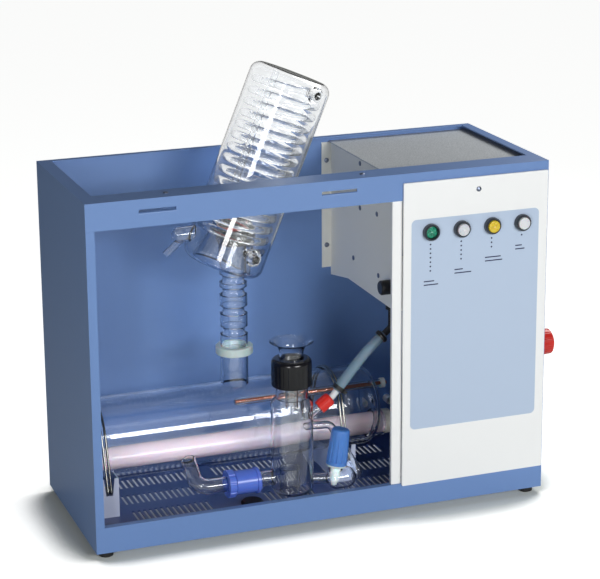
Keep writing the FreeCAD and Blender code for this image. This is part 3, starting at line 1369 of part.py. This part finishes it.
def tap_handle():
    """Fluted grip, hollow below, closed on the stem's spindle."""
    foot, way = tap_axis()
    low_r, top_r = HANDLE_R
    h = HANDLE_H
    well = 14.0
    corners = [(STEM_R + RUN, 0), (low_r, 0), (low_r, 3), (top_r, h - 2.5), (top_r - 2.5, h), (3 + RUN, h),
               (3 + RUN, well), (STEM_R + RUN, well)]
    body = turned(corners, {3: (top_r - 0.8, h - 0.8)})
    cap = rod(V(0, 0, h - 6), UP, 4, 6)
    cutters = []
    for index in range(HANDLE_FLUTES):
        x, y = on_arc((low_r + top_r) / 2 + 1.0, 360 / HANDLE_FLUTES * index)
        cutters.append(rod(V(x, y, 4), UP, HANDLE_FLUTE_R, h - 7.5))
    return stood(joined([cut_all(body, cutters), cap]), foot + way * (STEM_UP + SEAM), way)


def overflow_tube():
    """Glass tube from the leveller's side, round behind the tap and into the drain bulb."""
    end = V(TAP_X + TAP_BULB_L / 2 - 5, TAP_Y, TAP_Z - 2)
    start = V(LEV_X + LEV_R - 7, OVER_Y, OVER_Z)
    path = route([start] + [V(*p) for p in OVER_POINTS] + [end], [OVER_BEND, OVER_BEND * 0.6])
    tube = swept(path, OVER_R).cut(swept(path, OVER_R - OVER_WALL))
    side = rod(V(LEV_X, LEV_Y, OVER_Z - OVER_CUT_H / 2), UP, LEV_R + SEAM, OVER_CUT_H)
    return tube.cut(side).cut(tap_shell(-SEAM))


def make_all():
    pieces["left_side_panel"] = left_side_panel()
    pieces["right_side_panel"] = right_side_panel()
    pieces["front_top_rail"] = front_top_rail()
    pieces["back_panel"] = back_panel()
    pieces["base_pan"] = base_pan()
    pieces["feet"] = feet()
    pieces["vent_tray"] = vent_tray()
    pieces["tray_plug"] = tray_plug()
    pieces["housing_wall"] = housing_wall()
    pieces["housing_floor"] = housing_floor()
    pieces["case_screws"] = case_screws()
    pieces["wall_cap"] = wall_cap()
    pieces["bay_strip"] = bay_strip()
    pieces["front_panel"] = front_panel()
    pieces["panel_label"] = panel_label()
    pieces["top_cover"] = top_cover()
    pieces["lamp_bezels"] = lamp_bezels()
    pieces["lamp_bodies"] = lamp_bodies()
    pieces["green_lens"] = lamp_lens(0, 5.0)
    pieces["white_lens"] = lamp_lens(1, 0)
    pieces["yellow_lens"] = lamp_lens(2, 0)
    pieces["reset_button"] = reset_button()
    pieces["feed_elbow"] = feed_elbow()
    pieces["knob"] = knob()
    pieces["knob_shaft"] = knob_shaft()
    pieces["knob_bush"] = knob_bush()
    pieces["flow_valve"] = flow_valve()
    pieces["rear_spigots"] = rear_spigots()
    pieces["mains_gland"] = mains_gland()
    pieces["boiler_vessel"] = boiler_vessel()
    pieces["boiler_arm"] = boiler_arm()
    pieces["heater_sheath"] = heater_sheath()
    pieces["heater_cap"] = heater_cap()
    pieces["thermostat_pocket"] = thermostat_pocket()
    pieces["thermostat_rod"] = thermostat_rod()
    pieces["pocket_plug"] = pocket_plug()
    left, right = SADDLE_X
    pieces["boiler_saddles"] = Part.makeCompound([saddle(left, left + SADDLE_W - SHEET), saddle(right, right)])
    pieces["boiler_straps"] = Part.makeCompound([strap(x) for x in SADDLE_X])
    pieces["neck_collar"] = neck_collar()
    pieces["column_tube"] = column_tube()
    pieces["seal_ring"] = seal_ring()
    pieces["socket_liner"] = socket_liner()
    pieces["condenser_shell"] = condenser_shell()
    pieces["condenser_coil"] = condenser_coil()
    pieces["condenser_fittings"] = condenser_fittings()
    pieces["leveller_vessel"] = leveller_vessel()
    pieces["leveller_standpipe"] = leveller_standpipe()
    pieces["cap_seal"] = cap_seal()
    pieces["leveller_cap"] = leveller_cap()
    pieces["overflow_funnel"] = overflow_funnel()
    pieces["red_cap"] = red_cap()
    pieces["feed_spout"] = feed_spout()
    pieces["feed_hose"] = feed_hose()
    pieces["hose_rings"] = Part.makeCompound([hose_clip(), elbow_ring()])
    pieces["coupling_sleeve"] = coupling_sleeve()
    pieces["coupling_nut"] = coupling_nut()
    pieces["overflow_tube"] = overflow_tube()
    pieces["tap_stem"] = tap_stem()
    pieces["tap_ring"] = tap_ring()
    pieces["tap_handle"] = tap_handle()


def export_all():
    for name, shape in pieces.items():
        moved = shape.copy()
        moved.translate(BASE_MIDDLE * -1)
        moved.exportStep("parts/" + name + ".step")
        print(name, len(moved.Solids), "solids, valid", moved.isValid())


make_all()
export_all()
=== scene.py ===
# %% [markdown]
# A glass water distiller stands on a white table: a blue enamelled cabinet with an open front,
# a boiler of clear glass lying inside, a steam column with a lift-off condenser on it, a small
# leveller with a drain tap in front, and a white control panel. The rigid pieces come as a
# fixed frame that is already modelled; this file gives them their finishes, adds the printed
# marks and other small things, and sets up the light and the camera.

# %% Load the frame
import math
import bpy
import bmesh
from mathutils import Matrix, Vector


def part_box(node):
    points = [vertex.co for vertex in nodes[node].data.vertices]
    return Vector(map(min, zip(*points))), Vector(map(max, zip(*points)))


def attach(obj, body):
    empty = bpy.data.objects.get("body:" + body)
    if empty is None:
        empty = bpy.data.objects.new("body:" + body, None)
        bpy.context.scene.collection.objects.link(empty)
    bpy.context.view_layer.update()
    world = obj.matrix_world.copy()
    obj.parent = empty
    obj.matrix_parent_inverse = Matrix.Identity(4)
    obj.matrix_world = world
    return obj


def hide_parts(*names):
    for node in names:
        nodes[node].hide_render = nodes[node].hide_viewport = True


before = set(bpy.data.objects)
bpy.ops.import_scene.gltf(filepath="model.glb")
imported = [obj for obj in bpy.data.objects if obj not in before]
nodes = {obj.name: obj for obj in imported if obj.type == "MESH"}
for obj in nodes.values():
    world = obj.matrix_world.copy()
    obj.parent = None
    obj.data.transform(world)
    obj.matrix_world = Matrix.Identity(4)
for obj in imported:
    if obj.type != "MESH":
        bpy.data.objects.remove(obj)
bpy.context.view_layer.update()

MM = 0.001

# %% [markdown]
# Colours are written as sRGB hex, the way a paint chart gives them. The shaders want linear
# light, so one function turns them. A second function adds a shader node with its settings and
# links, so that each material reads as a short list.

# %% Colour and node helpers
def paint_chart(text):
    values = []
    for start in (0, 2, 4):
        level = int(text[start:start + 2], 16) / 255
        values.append(level / 12.92 if level <= 0.04045 else ((level + 0.055) / 1.055) ** 2.4)
    return (*values, 1.0)


def add(tree, kind, settings=None, links=None):
    """Adds a node; settings name its properties or sockets, links name sockets to feed."""
    node = tree.nodes.new(kind)
    for key, value in (settings or {}).items():
        if isinstance(key, int) or key in node.inputs:
            node.inputs[key].default_value = value
        else:
            setattr(node, key, value)
    for key, socket in (links or {}).items():
        tree.links.new(socket, node.inputs[key])
    return node


def blank_material(name):
    """A material with nothing in it but its output."""
    material = bpy.data.materials.new(name)
    material.use_nodes = True
    tree = material.node_tree
    tree.nodes.clear()
    output = add(tree, "ShaderNodeOutputMaterial")
    return material, tree, output


def finish_with(tree, output, shader):
    tree.links.new(shader.outputs[0], output.inputs["Surface"])


print("helpers ready; mid grey 808080 is", round(paint_chart("808080")[0], 3), "in linear light")

# %% [markdown]
# The imported pieces are loose triangles. A small geometry node group welds them while the
# picture is made and shades them smooth except across real edges, which leaves the pieces
# themselves alone. The limit of 32 degrees keeps folded sheet crisp and turned glass round.

# %% Smooth shading that leaves the pieces alone
CREASE = math.radians(32)


def smoothing_group():
    group = bpy.data.node_groups.new("weld and smooth", "GeometryNodeTree")
    group.interface.new_socket("Geometry", in_out="INPUT", socket_type="NodeSocketGeometry")
    group.interface.new_socket("Geometry", in_out="OUTPUT", socket_type="NodeSocketGeometry")
    source = add(group, "NodeGroupInput")
    weld = add(group, "GeometryNodeMergeByDistance", {"Distance": 1e-6}, {"Geometry": source.outputs[0]})
    round_faces = add(group, "GeometryNodeSetShadeSmooth", {"domain": "FACE", "Shade Smooth": True},
                      {"Geometry": weld.outputs[0]})
    angle = add(group, "GeometryNodeInputMeshEdgeAngle")
    sharp = add(group, "FunctionNodeCompare",
                {"data_type": "FLOAT", "operation": "GREATER_THAN", 1: CREASE}, {0: angle.outputs[0]})
    edges = add(group, "GeometryNodeSetShadeSmooth", {"domain": "EDGE", "Shade Smooth": False},
                {"Geometry": round_faces.outputs[0], "Selection": sharp.outputs[0]})
    result = add(group, "NodeGroupOutput")
    group.links.new(edges.outputs[0], result.inputs[0])
    return group


SMOOTHING = smoothing_group()
print("smoothing splits edges over", round(math.degrees(CREASE)), "degrees")


def dress(names, material):
    """Gives CAD nodes one finish and smooth shading."""
    for name in names:
        piece = nodes[name]
        piece.data.materials.clear()
        piece.data.materials.append(material)
        piece.modifiers.new("smooth", "NODES").node_group = SMOOTHING
    print(material.name, "on", ", ".join(names))


# %% [markdown]
# The cabinet is folded from steel sheet and stove enamelled: a powder or wet enamel that flows
# as it bakes. It leaves a satin skin with a faint orange peel. The peel is a soft noise about
# 1.6 mm across used as a bump; finer would vanish in the picture. The top cover has a speckle of
# two greys as well, whose grains are drawn 1.3 mm across, as coarse as they need to be to show.

# %% Stove enamels
SPECKLE_MM = 1.3


def stove_enamel(name, colour, roughness=0.38, peel_mm=1.6, depth=0.06, speckle=None):
    material, tree, output = blank_material(name)
    place = add(tree, "ShaderNodeTexCoord")
    peel = add(tree, "ShaderNodeTexNoise", {"Scale": 1000 / peel_mm, "Detail": 1.0},
               {"Vector": place.outputs["Object"]})
    bump = add(tree, "ShaderNodeBump", {"Strength": depth, "Distance": 0.3 * MM},
               {"Height": peel.outputs["Fac"]})
    shader = add(tree, "ShaderNodeBsdfPrincipled", {"Base Color": paint_chart(colour),
                 "Roughness": roughness, "IOR": 1.5}, {"Normal": bump.outputs[0]})
    if speckle:
        grains = add(tree, "ShaderNodeTexNoise", {"Scale": 1000 / SPECKLE_MM, "Detail": 3.0},
                     {"Vector": place.outputs["Object"]})
        share = add(tree, "ShaderNodeMapRange", {"From Min": 0.42, "From Max": 0.6},
                    {"Value": grains.outputs["Fac"]})
        two_greys = add(tree, "ShaderNodeMix",
                        {"data_type": "RGBA", 6: paint_chart(colour), 7: paint_chart(speckle)},
                        {0: share.outputs[0]})
        tree.links.new(two_greys.outputs[2], shader.inputs["Base Color"])
    finish_with(tree, output, shader)
    return material


blue_enamel = stove_enamel("blue stove enamel", "6888BD")
dark_enamel = stove_enamel("navy stove enamel", "384A7C", roughness=0.3)
white_enamel = stove_enamel("white stove enamel", "ECEDEE", roughness=0.42)
cream_enamel = stove_enamel("cream stove enamel", "E2E2DC", roughness=0.4)
# painted reflection: the saddles are white enamel, tinted pale blue-lilac here for the blue cabinet
# reflected on them
pale_enamel = stove_enamel("white enamel with painted blue reflection", "BCC4DC", roughness=0.4)
grey_enamel = stove_enamel("speckled grey enamel", "C6CACE", roughness=0.4, peel_mm=2.2, depth=0.15,
                           speckle="A4AAAE")

dress(["left_side_panel", "right_side_panel", "front_top_rail", "back_panel", "base_pan"], blue_enamel)
dress(["vent_tray"], dark_enamel)
dress(["front_panel", "bay_strip"], white_enamel)
dress(["housing_wall", "housing_floor"], cream_enamel)
dress(["boiler_saddles"], pale_enamel)
dress(["top_cover"], grey_enamel)

# %% [markdown]
# The glassware is blown and drawn borosilicate glass with a fire-polished skin: perfectly
# smooth, index 1.47, almost no colour. Real walls are modelled, so light bends at the outer and
# the inner face. A glass shader alone would throw black shadows, so for shadow rays the same
# surface is clear where it faces the light and grey where it turns away, as the soft shadow of
# a glass tube is.

# %% Borosilicate glass
def blown_glass(name, tint, clear="E2E8EE", edge="56627A"):
    material, tree, output = blank_material(name)
    body = add(tree, "ShaderNodeBsdfPrincipled", {"Base Color": paint_chart(tint), "Roughness": 0.0,
               "IOR": 1.47, "Transmission Weight": 1.0})
    slant = add(tree, "ShaderNodeLayerWeight", {"Blend": 0.3})
    shade = add(tree, "ShaderNodeMix", {"data_type": "RGBA", 6: paint_chart(clear), 7: paint_chart(edge)},
                {0: slant.outputs["Facing"]})
    passing = add(tree, "ShaderNodeBsdfTransparent", None, {"Color": shade.outputs[2]})
    ray = add(tree, "ShaderNodeLightPath")
    mix = add(tree, "ShaderNodeMixShader", None, {0: ray.outputs["Is Shadow Ray"], 1: body.outputs[0],
              2: passing.outputs[0]})
    finish_with(tree, output, mix)
    return material


clear_glass = blown_glass("borosilicate glass", "FCFDFE")
dress(["boiler_vessel", "boiler_arm", "column_tube", "condenser_shell", "condenser_fittings",
       "condenser_coil", "leveller_vessel", "leveller_standpipe", "overflow_funnel", "overflow_tube",
       "thermostat_pocket", "socket_liner"], clear_glass)

# %% [markdown]
# Moulded and turned plastics, rubber and ceramics all use one shader with different gloss.
# Waxy fluoroplastic and silicone let light in a little way, which subsurface scattering gives;
# the depth is a few millimetres. Rubber gets a faint grain from its mould, 0.9 mm across here.

# %% Plastics, rubber and ceramics
RUBBER_GRAIN_MM = 0.9


def moulded(name, colour, roughness, scatter=0.0, depth_mm=2.0, passing=0.0, grain=0.0):
    material, tree, output = blank_material(name)
    shader = add(tree, "ShaderNodeBsdfPrincipled", {"Base Color": paint_chart(colour),
                 "Roughness": roughness, "IOR": 1.5, "Subsurface Weight": scatter,
                 "Subsurface Scale": depth_mm * MM, "Transmission Weight": passing})
    if grain:
        place = add(tree, "ShaderNodeTexCoord")
        noise = add(tree, "ShaderNodeTexNoise", {"Scale": 1000 / RUBBER_GRAIN_MM, "Detail": 2.0},
                    {"Vector": place.outputs["Object"]})
        bump = add(tree, "ShaderNodeBump", {"Strength": grain, "Distance": 0.2 * MM},
                   {"Height": noise.outputs["Fac"]})
        tree.links.new(bump.outputs[0], shader.inputs["Normal"])
    finish_with(tree, output, shader)
    return material


dress(["knob", "red_cap"], moulded("red moulded polypropylene", "D02A22", 0.28))
dress(["coupling_sleeve", "coupling_nut"], moulded("blue moulded polypropylene", "5A78D8", 0.25, 0.3))
dress(["tap_handle"], moulded("sky blue moulded polypropylene", "4C80CC", 0.3, 0.15))
dress(["leveller_cap"], moulded("black phenolic moulding", "0E0E14", 0.2))
dress(["wall_cap", "feed_elbow", "hose_rings", "mains_gland", "lamp_bodies"],
      moulded("black moulded nylon", "17171A", 0.35))
dress(["feet", "tray_plug", "cap_seal"], moulded("black moulded rubber", "141416", 0.6, grain=0.3))
dress(["seal_ring"], moulded("red silicone rubber", "C8341C", 0.35, 0.2))
silicone = moulded("translucent silicone hose", "93AEC2", 0.22, 0.4, 4.0, 0.45)
dress(["feed_hose"], silicone)
dress(["neck_collar", "tap_stem", "tap_ring", "pocket_plug"],
      moulded("turned fluoroplastic", "C9D6D4", 0.42, 0.5, 3.0))
dress(["heater_sheath"], moulded("milky fused silica", "D8C4CC", 0.2, 0.3, 3.0))
dress(["heater_cap"], moulded("glazed ceramic", "DAD6CA", 0.25))
dress(["feed_spout", "rear_spigots"], moulded("natural nylon", "D8DADC", 0.4, 0.3))
dress(["panel_label"], moulded("printed polyester film", "B3C3DA", 0.45))
dress(["lamp_bezels"], moulded("gunmetal moulded bezel", "3A3E45", 0.3))
dress(["reset_button"], moulded("white acrylic button", "D6D7DC", 0.3, 0.2))

# %% [markdown]
# The lamp lenses are moulded acrylic with small prisms on the inside that break up the lamp
# behind. Seen from outside the prisms are bright and dark facets about 2 mm across, so the
# shader tilts its surface by cells of that size and lays a smooth coat over them.

# %% Prismatic lamp lenses
def prism_lens(name, colour, deep, depth, prism_mm=2.2):
    material, tree, output = blank_material(name)
    place = add(tree, "ShaderNodeTexCoord")
    cells = add(tree, "ShaderNodeTexVoronoi", {"Scale": 1000 / prism_mm},
                {"Vector": place.outputs["Object"]})
    bump = add(tree, "ShaderNodeBump", {"Strength": depth, "Distance": 0.8 * MM},
               {"Height": cells.outputs["Distance"]})
    tone = add(tree, "ShaderNodeMix", {"data_type": "RGBA", 6: paint_chart(deep), 7: paint_chart(colour)},
               {0: cells.outputs["Color"]})
    shader = add(tree, "ShaderNodeBsdfPrincipled", {"Roughness": 0.2, "IOR": 1.49,
                 "Subsurface Weight": 0.2, "Subsurface Scale": 2 * MM, "Coat Weight": 0.3,
                 "Coat Roughness": 0.1}, {"Base Color": tone.outputs[2], "Normal": bump.outputs[0]})
    finish_with(tree, output, shader)
    return material


dress(["green_lens"], prism_lens("green acrylic lens", "1FA884", "05483A", 0.5, 2.6))
dress(["white_lens"], prism_lens("opal acrylic lens", "D4D5DA", "C2C4CC", 0.25))
dress(["yellow_lens"], prism_lens("amber acrylic lens", "E2C83A", "C8A824", 0.3))

# %% [markdown]
# The straps are drawn spring wire, the screws are zinc plated and the rod in the pocket is
# drawn copper. A metal has no colour under its shine, so only its tint and its roughness count.

# %% Metals
def metal(name, colour, roughness):
    material, tree, output = blank_material(name)
    shader = add(tree, "ShaderNodeBsdfPrincipled", {"Base Color": paint_chart(colour),
                 "Roughness": roughness, "Metallic": 1.0})
    finish_with(tree, output, shader)
    return material


dress(["boiler_straps"], metal("drawn spring steel", "8A8A86", 0.25))
dress(["case_screws"], metal("zinc plated steel", "7E8698", 0.35))
dress(["knob_shaft", "knob_bush"], metal("turned stainless steel", "A9AAAC", 0.3))
dress(["thermostat_rod"], metal("drawn copper", "A85C3E", 0.28))
dress(["flow_valve"], metal("turned brass", "B89450", 0.3))

# %% [markdown]
# The feed hose is a short length of silicone tube, clamped on the spout at its foot and on the
# elbow's barb at its top. A tube on a curve is the plain way to draw a hose: the curve gives its
# run, the bevel its outside and a solidify modifier its wall. The four points are those of the
# frame's own hose, in millimetres from the cabinet's lower left front corner on the table. The
# spline starts and ends on the outer two and bends smoothly past the middle two.

# %% Feed hose
HOSE_ROUTE = ((302.26, 40.13, 148.40), (332.3, 41.0, 184.3), (351.3, 41.6, 201.3),
              (362.27, 41.81, 209.70))
HOSE_R = 6.0 * MM
HOSE_WALL = 2.2 * MM
case_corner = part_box("left_side_panel")[0]
hose_points = [Vector((case_corner.x, case_corner.y, 0)) + Vector(point) * MM for point in HOSE_ROUTE]
line = bpy.data.curves.new("feed_hose_tube", "CURVE")
line.dimensions = "3D"
line.bevel_depth = HOSE_R
line.bevel_resolution = 8
line.resolution_u = 16
spline = line.splines.new("NURBS")
spline.points.add(len(hose_points) - 1)
for point, place in zip(spline.points, hose_points):
    point.co = (*place, 1)
spline.order_u = 3
spline.use_endpoint_u = True
line.materials.append(silicone)
hose = bpy.data.objects.new("feed_hose_tube", line)
bpy.context.scene.collection.objects.link(hose)
wall = hose.modifiers.new("wall", "SOLIDIFY")
wall.thickness = HOSE_WALL
wall.offset = -1
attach(hose, "cabinet")
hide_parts("feed_hose")

# %% [markdown]
# Under the pierced tray lies a sheet with a painted glow, stronger towards the back. It stands in for the
# light seen through the slots and makes them pale against the navy tray. It is one flat sheet made from a
# unit cube, a little smaller than the tray.

# %% Sheet with a painted glow under the tray
def loose_mesh(name, build, material, body):
    """A new piece from a bmesh that a function fills, in its place, riding on a body."""
    mesh = bpy.data.meshes.new(name)
    work = bmesh.new()
    build(work)
    work.to_mesh(mesh)
    work.free()
    mesh.materials.append(material)
    piece = bpy.data.objects.new(name, mesh)
    bpy.context.scene.collection.objects.link(piece)
    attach(piece, body)
    print(name, "has", len(mesh.polygons), "faces and rides on", body)
    return piece


def block(work, low, high):
    size = Vector(high) - Vector(low)
    middle = (Vector(high) + Vector(low)) / 2
    bmesh.ops.create_cube(work, size=1.0, matrix=Matrix.Translation(middle) @ Matrix.Diagonal((*size, 1)))


tray_low, tray_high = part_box("vent_tray")
SHEET_DOWN = 1.9 * MM
SHEET_T = 0.6 * MM
SHEET_IN = 3.0 * MM


def painted_glow_sheet(name):
    """Anodised sheet with a painted glow, stronger towards the back, standing in for the light seen through
    the slots.
    """
    material, tree, output = blank_material(name)
    place = add(tree, "ShaderNodeTexCoord")
    axes = add(tree, "ShaderNodeSeparateXYZ", None, {0: place.outputs["Object"]})
    # painted glow: the emission rises from nothing at the front of the tray to 0.4 at the back, though the
    # sheet is no lamp
    light = add(tree, "ShaderNodeMapRange", {"From Min": tray_low.y, "From Max": tray_high.y, "To Min": 0.0,
                "To Max": 0.4}, {"Value": axes.outputs["Y"]})
    shader = add(tree, "ShaderNodeBsdfPrincipled", {"Base Color": paint_chart("828898"),
                 "Roughness": 0.35, "IOR": 1.5, "Emission Color": paint_chart("E6ECF8")},
                 {"Emission Strength": light.outputs[0]})
    finish_with(tree, output, shader)
    return material


glow_sheet_finish = painted_glow_sheet("anodised aluminium with painted glow")


def glow_sheet_under_slots(work):
    top = tray_high.z - SHEET_DOWN
    low = (tray_low.x + SHEET_IN, tray_low.y + SHEET_IN, top - SHEET_T)
    high = (tray_high.x - SHEET_IN, tray_high.y - SHEET_IN, top)
    block(work, low, high)


glow_sheet = loose_mesh("glow_sheet_under_slots", glow_sheet_under_slots, glow_sheet_finish, "cabinet")

# %% [markdown]
# The label carries a column of dots under each lamp, with seven, five, three and one dot, and
# two short printed lines that stand for a caption. They are screen printed, so they are drawn
# as discs and bars a few hundredths of a millimetre proud of the film.

# %% Printed marks on the label
label_low, label_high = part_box("panel_label")
bezel_low, bezel_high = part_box("lamp_bezels")
LAMP_COUNT = 4
BEZEL_R = (bezel_high.z - bezel_low.z) / 2
LAMP_Z = (bezel_low.z + bezel_high.z) / 2
LAMP_FIRST = bezel_low.x + BEZEL_R
LAMP_STEP = (bezel_high.x - bezel_low.x - 2 * BEZEL_R) / (LAMP_COUNT - 1)
DOTS = (7, 5, 3, 1)
DOT_R = 1.05 * MM
DOT_STEP = 5.2 * MM
DOT_FIRST = 15.0 * MM
PRINT_T = 0.05 * MM
BAR_H = 1.35 * MM
BAR_STEP = 4.2 * MM
BARS_DOWN = 11.5 * MM
BARS_LEFT = 8.0 * MM
CAPTIONS = ((13.0, 18.0), (10.5, 21.0), (20.0, 22.0), (8.5, 12.0))
ink = moulded("navy screen ink", "1C2450", 0.5)


def printed_marks(work):
    face = label_low.y - PRINT_T
    for lamp, count in enumerate(DOTS):
        x = LAMP_FIRST + lamp * LAMP_STEP
        z = LAMP_Z - DOT_FIRST
        for index in range(count):
            spot = Matrix.Translation((x, face, z - index * DOT_STEP))
            turn = spot @ Matrix.Rotation(math.pi / 2, 4, "X")
            bmesh.ops.create_cone(work, cap_ends=True, segments=16, radius1=DOT_R, radius2=DOT_R,
                                  depth=PRINT_T, matrix=turn)
        low = z - (count - 1) * DOT_STEP - BARS_DOWN
        for row, width in enumerate(CAPTIONS[lamp]):
            left = x - BARS_LEFT
            top = low - row * BAR_STEP
            block(work, (left, face, top - BAR_H), (left + width * MM, label_low.y, top))


marks = loose_mesh("printed_marks", printed_marks, ink, "cabinet")

# %% [markdown]
# The table is a white sweep that runs off behind the object, as in a product studio. Its own colour is
# pale; for the camera, and seen through glass, a little light of its own lifts it to white. Within a hand's
# breadth of the cabinet, where less of the sky reaches the table, ambient occlusion takes that glow away,
# which paints a soft shadow round the cabinet's foot.

# %% Table and backdrop
SHADOW_REACH = 90 * MM


def studio_white(name):
    material, tree, output = blank_material(name)
    cloth = add(tree, "ShaderNodeBsdfDiffuse", {"Color": paint_chart("EDF1EB")})
    # painted shadow: ambient occlusion within 90 mm of the cabinet dims the table's own glow
    painted_shadow_occlusion = add(tree, "ShaderNodeAmbientOcclusion", {"samples": 16, "Distance": SHADOW_REACH})
    shade = add(tree, "ShaderNodeMapRange",
                {"From Min": 0.64, "From Max": 0.84, "To Min": 0.0, "To Max": 0.85},
                {"Value": painted_shadow_occlusion.outputs["AO"]})
    glow = add(tree, "ShaderNodeEmission", {"Color": (1, 1, 1, 1)}, {"Strength": shade.outputs[0]})
    both = add(tree, "ShaderNodeAddShader", None, {0: cloth.outputs[0], 1: glow.outputs[0]})
    ray = add(tree, "ShaderNodeLightPath")
    seen = add(tree, "ShaderNodeMath", {"operation": "MAXIMUM"},
               {0: ray.outputs["Is Camera Ray"], 1: ray.outputs["Is Transmission Ray"]})
    mix = add(tree, "ShaderNodeMixShader", None,
              {0: seen.outputs[0], 1: cloth.outputs[0], 2: both.outputs[0]})
    finish_with(tree, output, mix)
    return material


TABLE_HALF = 6.0

table_mesh = bpy.data.meshes.new("table")
table_work = bmesh.new()
bmesh.ops.create_grid(table_work, x_segments=1, y_segments=1, size=TABLE_HALF)
table_work.to_mesh(table_mesh)
table_work.free()
table_mesh.materials.append(studio_white("white studio sweep with painted shadow"))
table = bpy.data.objects.new("table", table_mesh)
bpy.context.scene.collection.objects.link(table)
print("table", 2 * TABLE_HALF, "m square")

# %% [markdown]
# Plain studio light. A wide soft source in front draws the long highlights on the glass and
# lights the bay, a weaker one on the left fills the shaded side, and a small one above the right
# end lights the top. The surround is dim for the object, and white for the camera and for what
# shows through the glass.

# %% Lights and surround
def soft_source(name, place, aim, width, height, power):
    light = bpy.data.lights.new(name, "AREA")
    light.shape = "RECTANGLE"
    light.size = width
    light.size_y = height
    light.energy = power
    lamp = bpy.data.objects.new(name, light)
    lamp.location = place
    lamp.rotation_euler = (Vector(aim) - Vector(place)).to_track_quat("-Z", "Y").to_euler()
    bpy.context.scene.collection.objects.link(lamp)
    print(name, power, "W, from", place)


soft_source("front key", (0.58, -2.45, 1.0), (0, 0, 0.22), 1.15, 0.48, 35)
soft_source("left strip", (-1.40, -1.95, 0.55), (-0.05, 0, 0.35), 0.5, 0.8, 15)
soft_source("right above", (0.72, 0.3, 0.95), (0.25, 0, 0.4), 0.5, 0.5, 5.2)

world = bpy.data.worlds.new("pale surround")
bpy.context.scene.world = world
world.use_nodes = True
sky = world.node_tree
sky.nodes.clear()
sky_out = add(sky, "ShaderNodeOutputWorld")
path = add(sky, "ShaderNodeLightPath")
room = add(sky, "ShaderNodeBackground", {"Color": (1, 1, 1, 1), "Strength": 0.11})
white = add(sky, "ShaderNodeBackground", {"Color": (1, 1, 1, 1), "Strength": 1.0})
direct = add(sky, "ShaderNodeMath", {"operation": "MAXIMUM"},
             {0: path.outputs["Is Camera Ray"], 1: path.outputs["Is Transmission Ray"]})
sky_mix = add(sky, "ShaderNodeMixShader", None,
              {0: direct.outputs[0], 1: room.outputs[0], 2: white.outputs[0]})
sky.links.new(sky_mix.outputs[0], sky_out.inputs["Surface"])

# %% [markdown]
# The camera stands left of the cabinet and above it, two and a half metres away, and looks
# slightly down. Its place, its way and its focal length were fitted to the cabinet's corners in
# the photograph. The lens is shifted a tenth of the width so that the cabinet sits as framed.

# %% Camera
VIEW_AT = Vector((-0.8020, -2.15445, 0.9435))
VIEW_WAY = Vector((0.3352, 0.9056, -0.2598)).normalized()
VIEW_RIGHT = Vector((0.9371, -0.3489, -0.0072)).normalized()
FOCAL_PX = 2034.4
PICTURE_W = 600
SHIFT_Y = -0.10

camera_data = bpy.data.cameras.new("camera")
camera_data.sensor_width = 36.0
camera_data.lens = FOCAL_PX / PICTURE_W * camera_data.sensor_width
camera_data.shift_y = SHIFT_Y
camera = bpy.data.objects.new("camera", camera_data)
view_up = VIEW_RIGHT.cross(VIEW_WAY)
turn = Matrix((VIEW_RIGHT, view_up, -VIEW_WAY)).transposed()
camera.matrix_world = Matrix.Translation(VIEW_AT) @ turn.to_4x4()
bpy.context.scene.collection.objects.link(camera)
bpy.context.scene.camera = camera
bpy.context.scene.view_settings.view_transform = "Standard"
print("camera", camera_data.lens, "mm lens at", VIEW_AT[:])
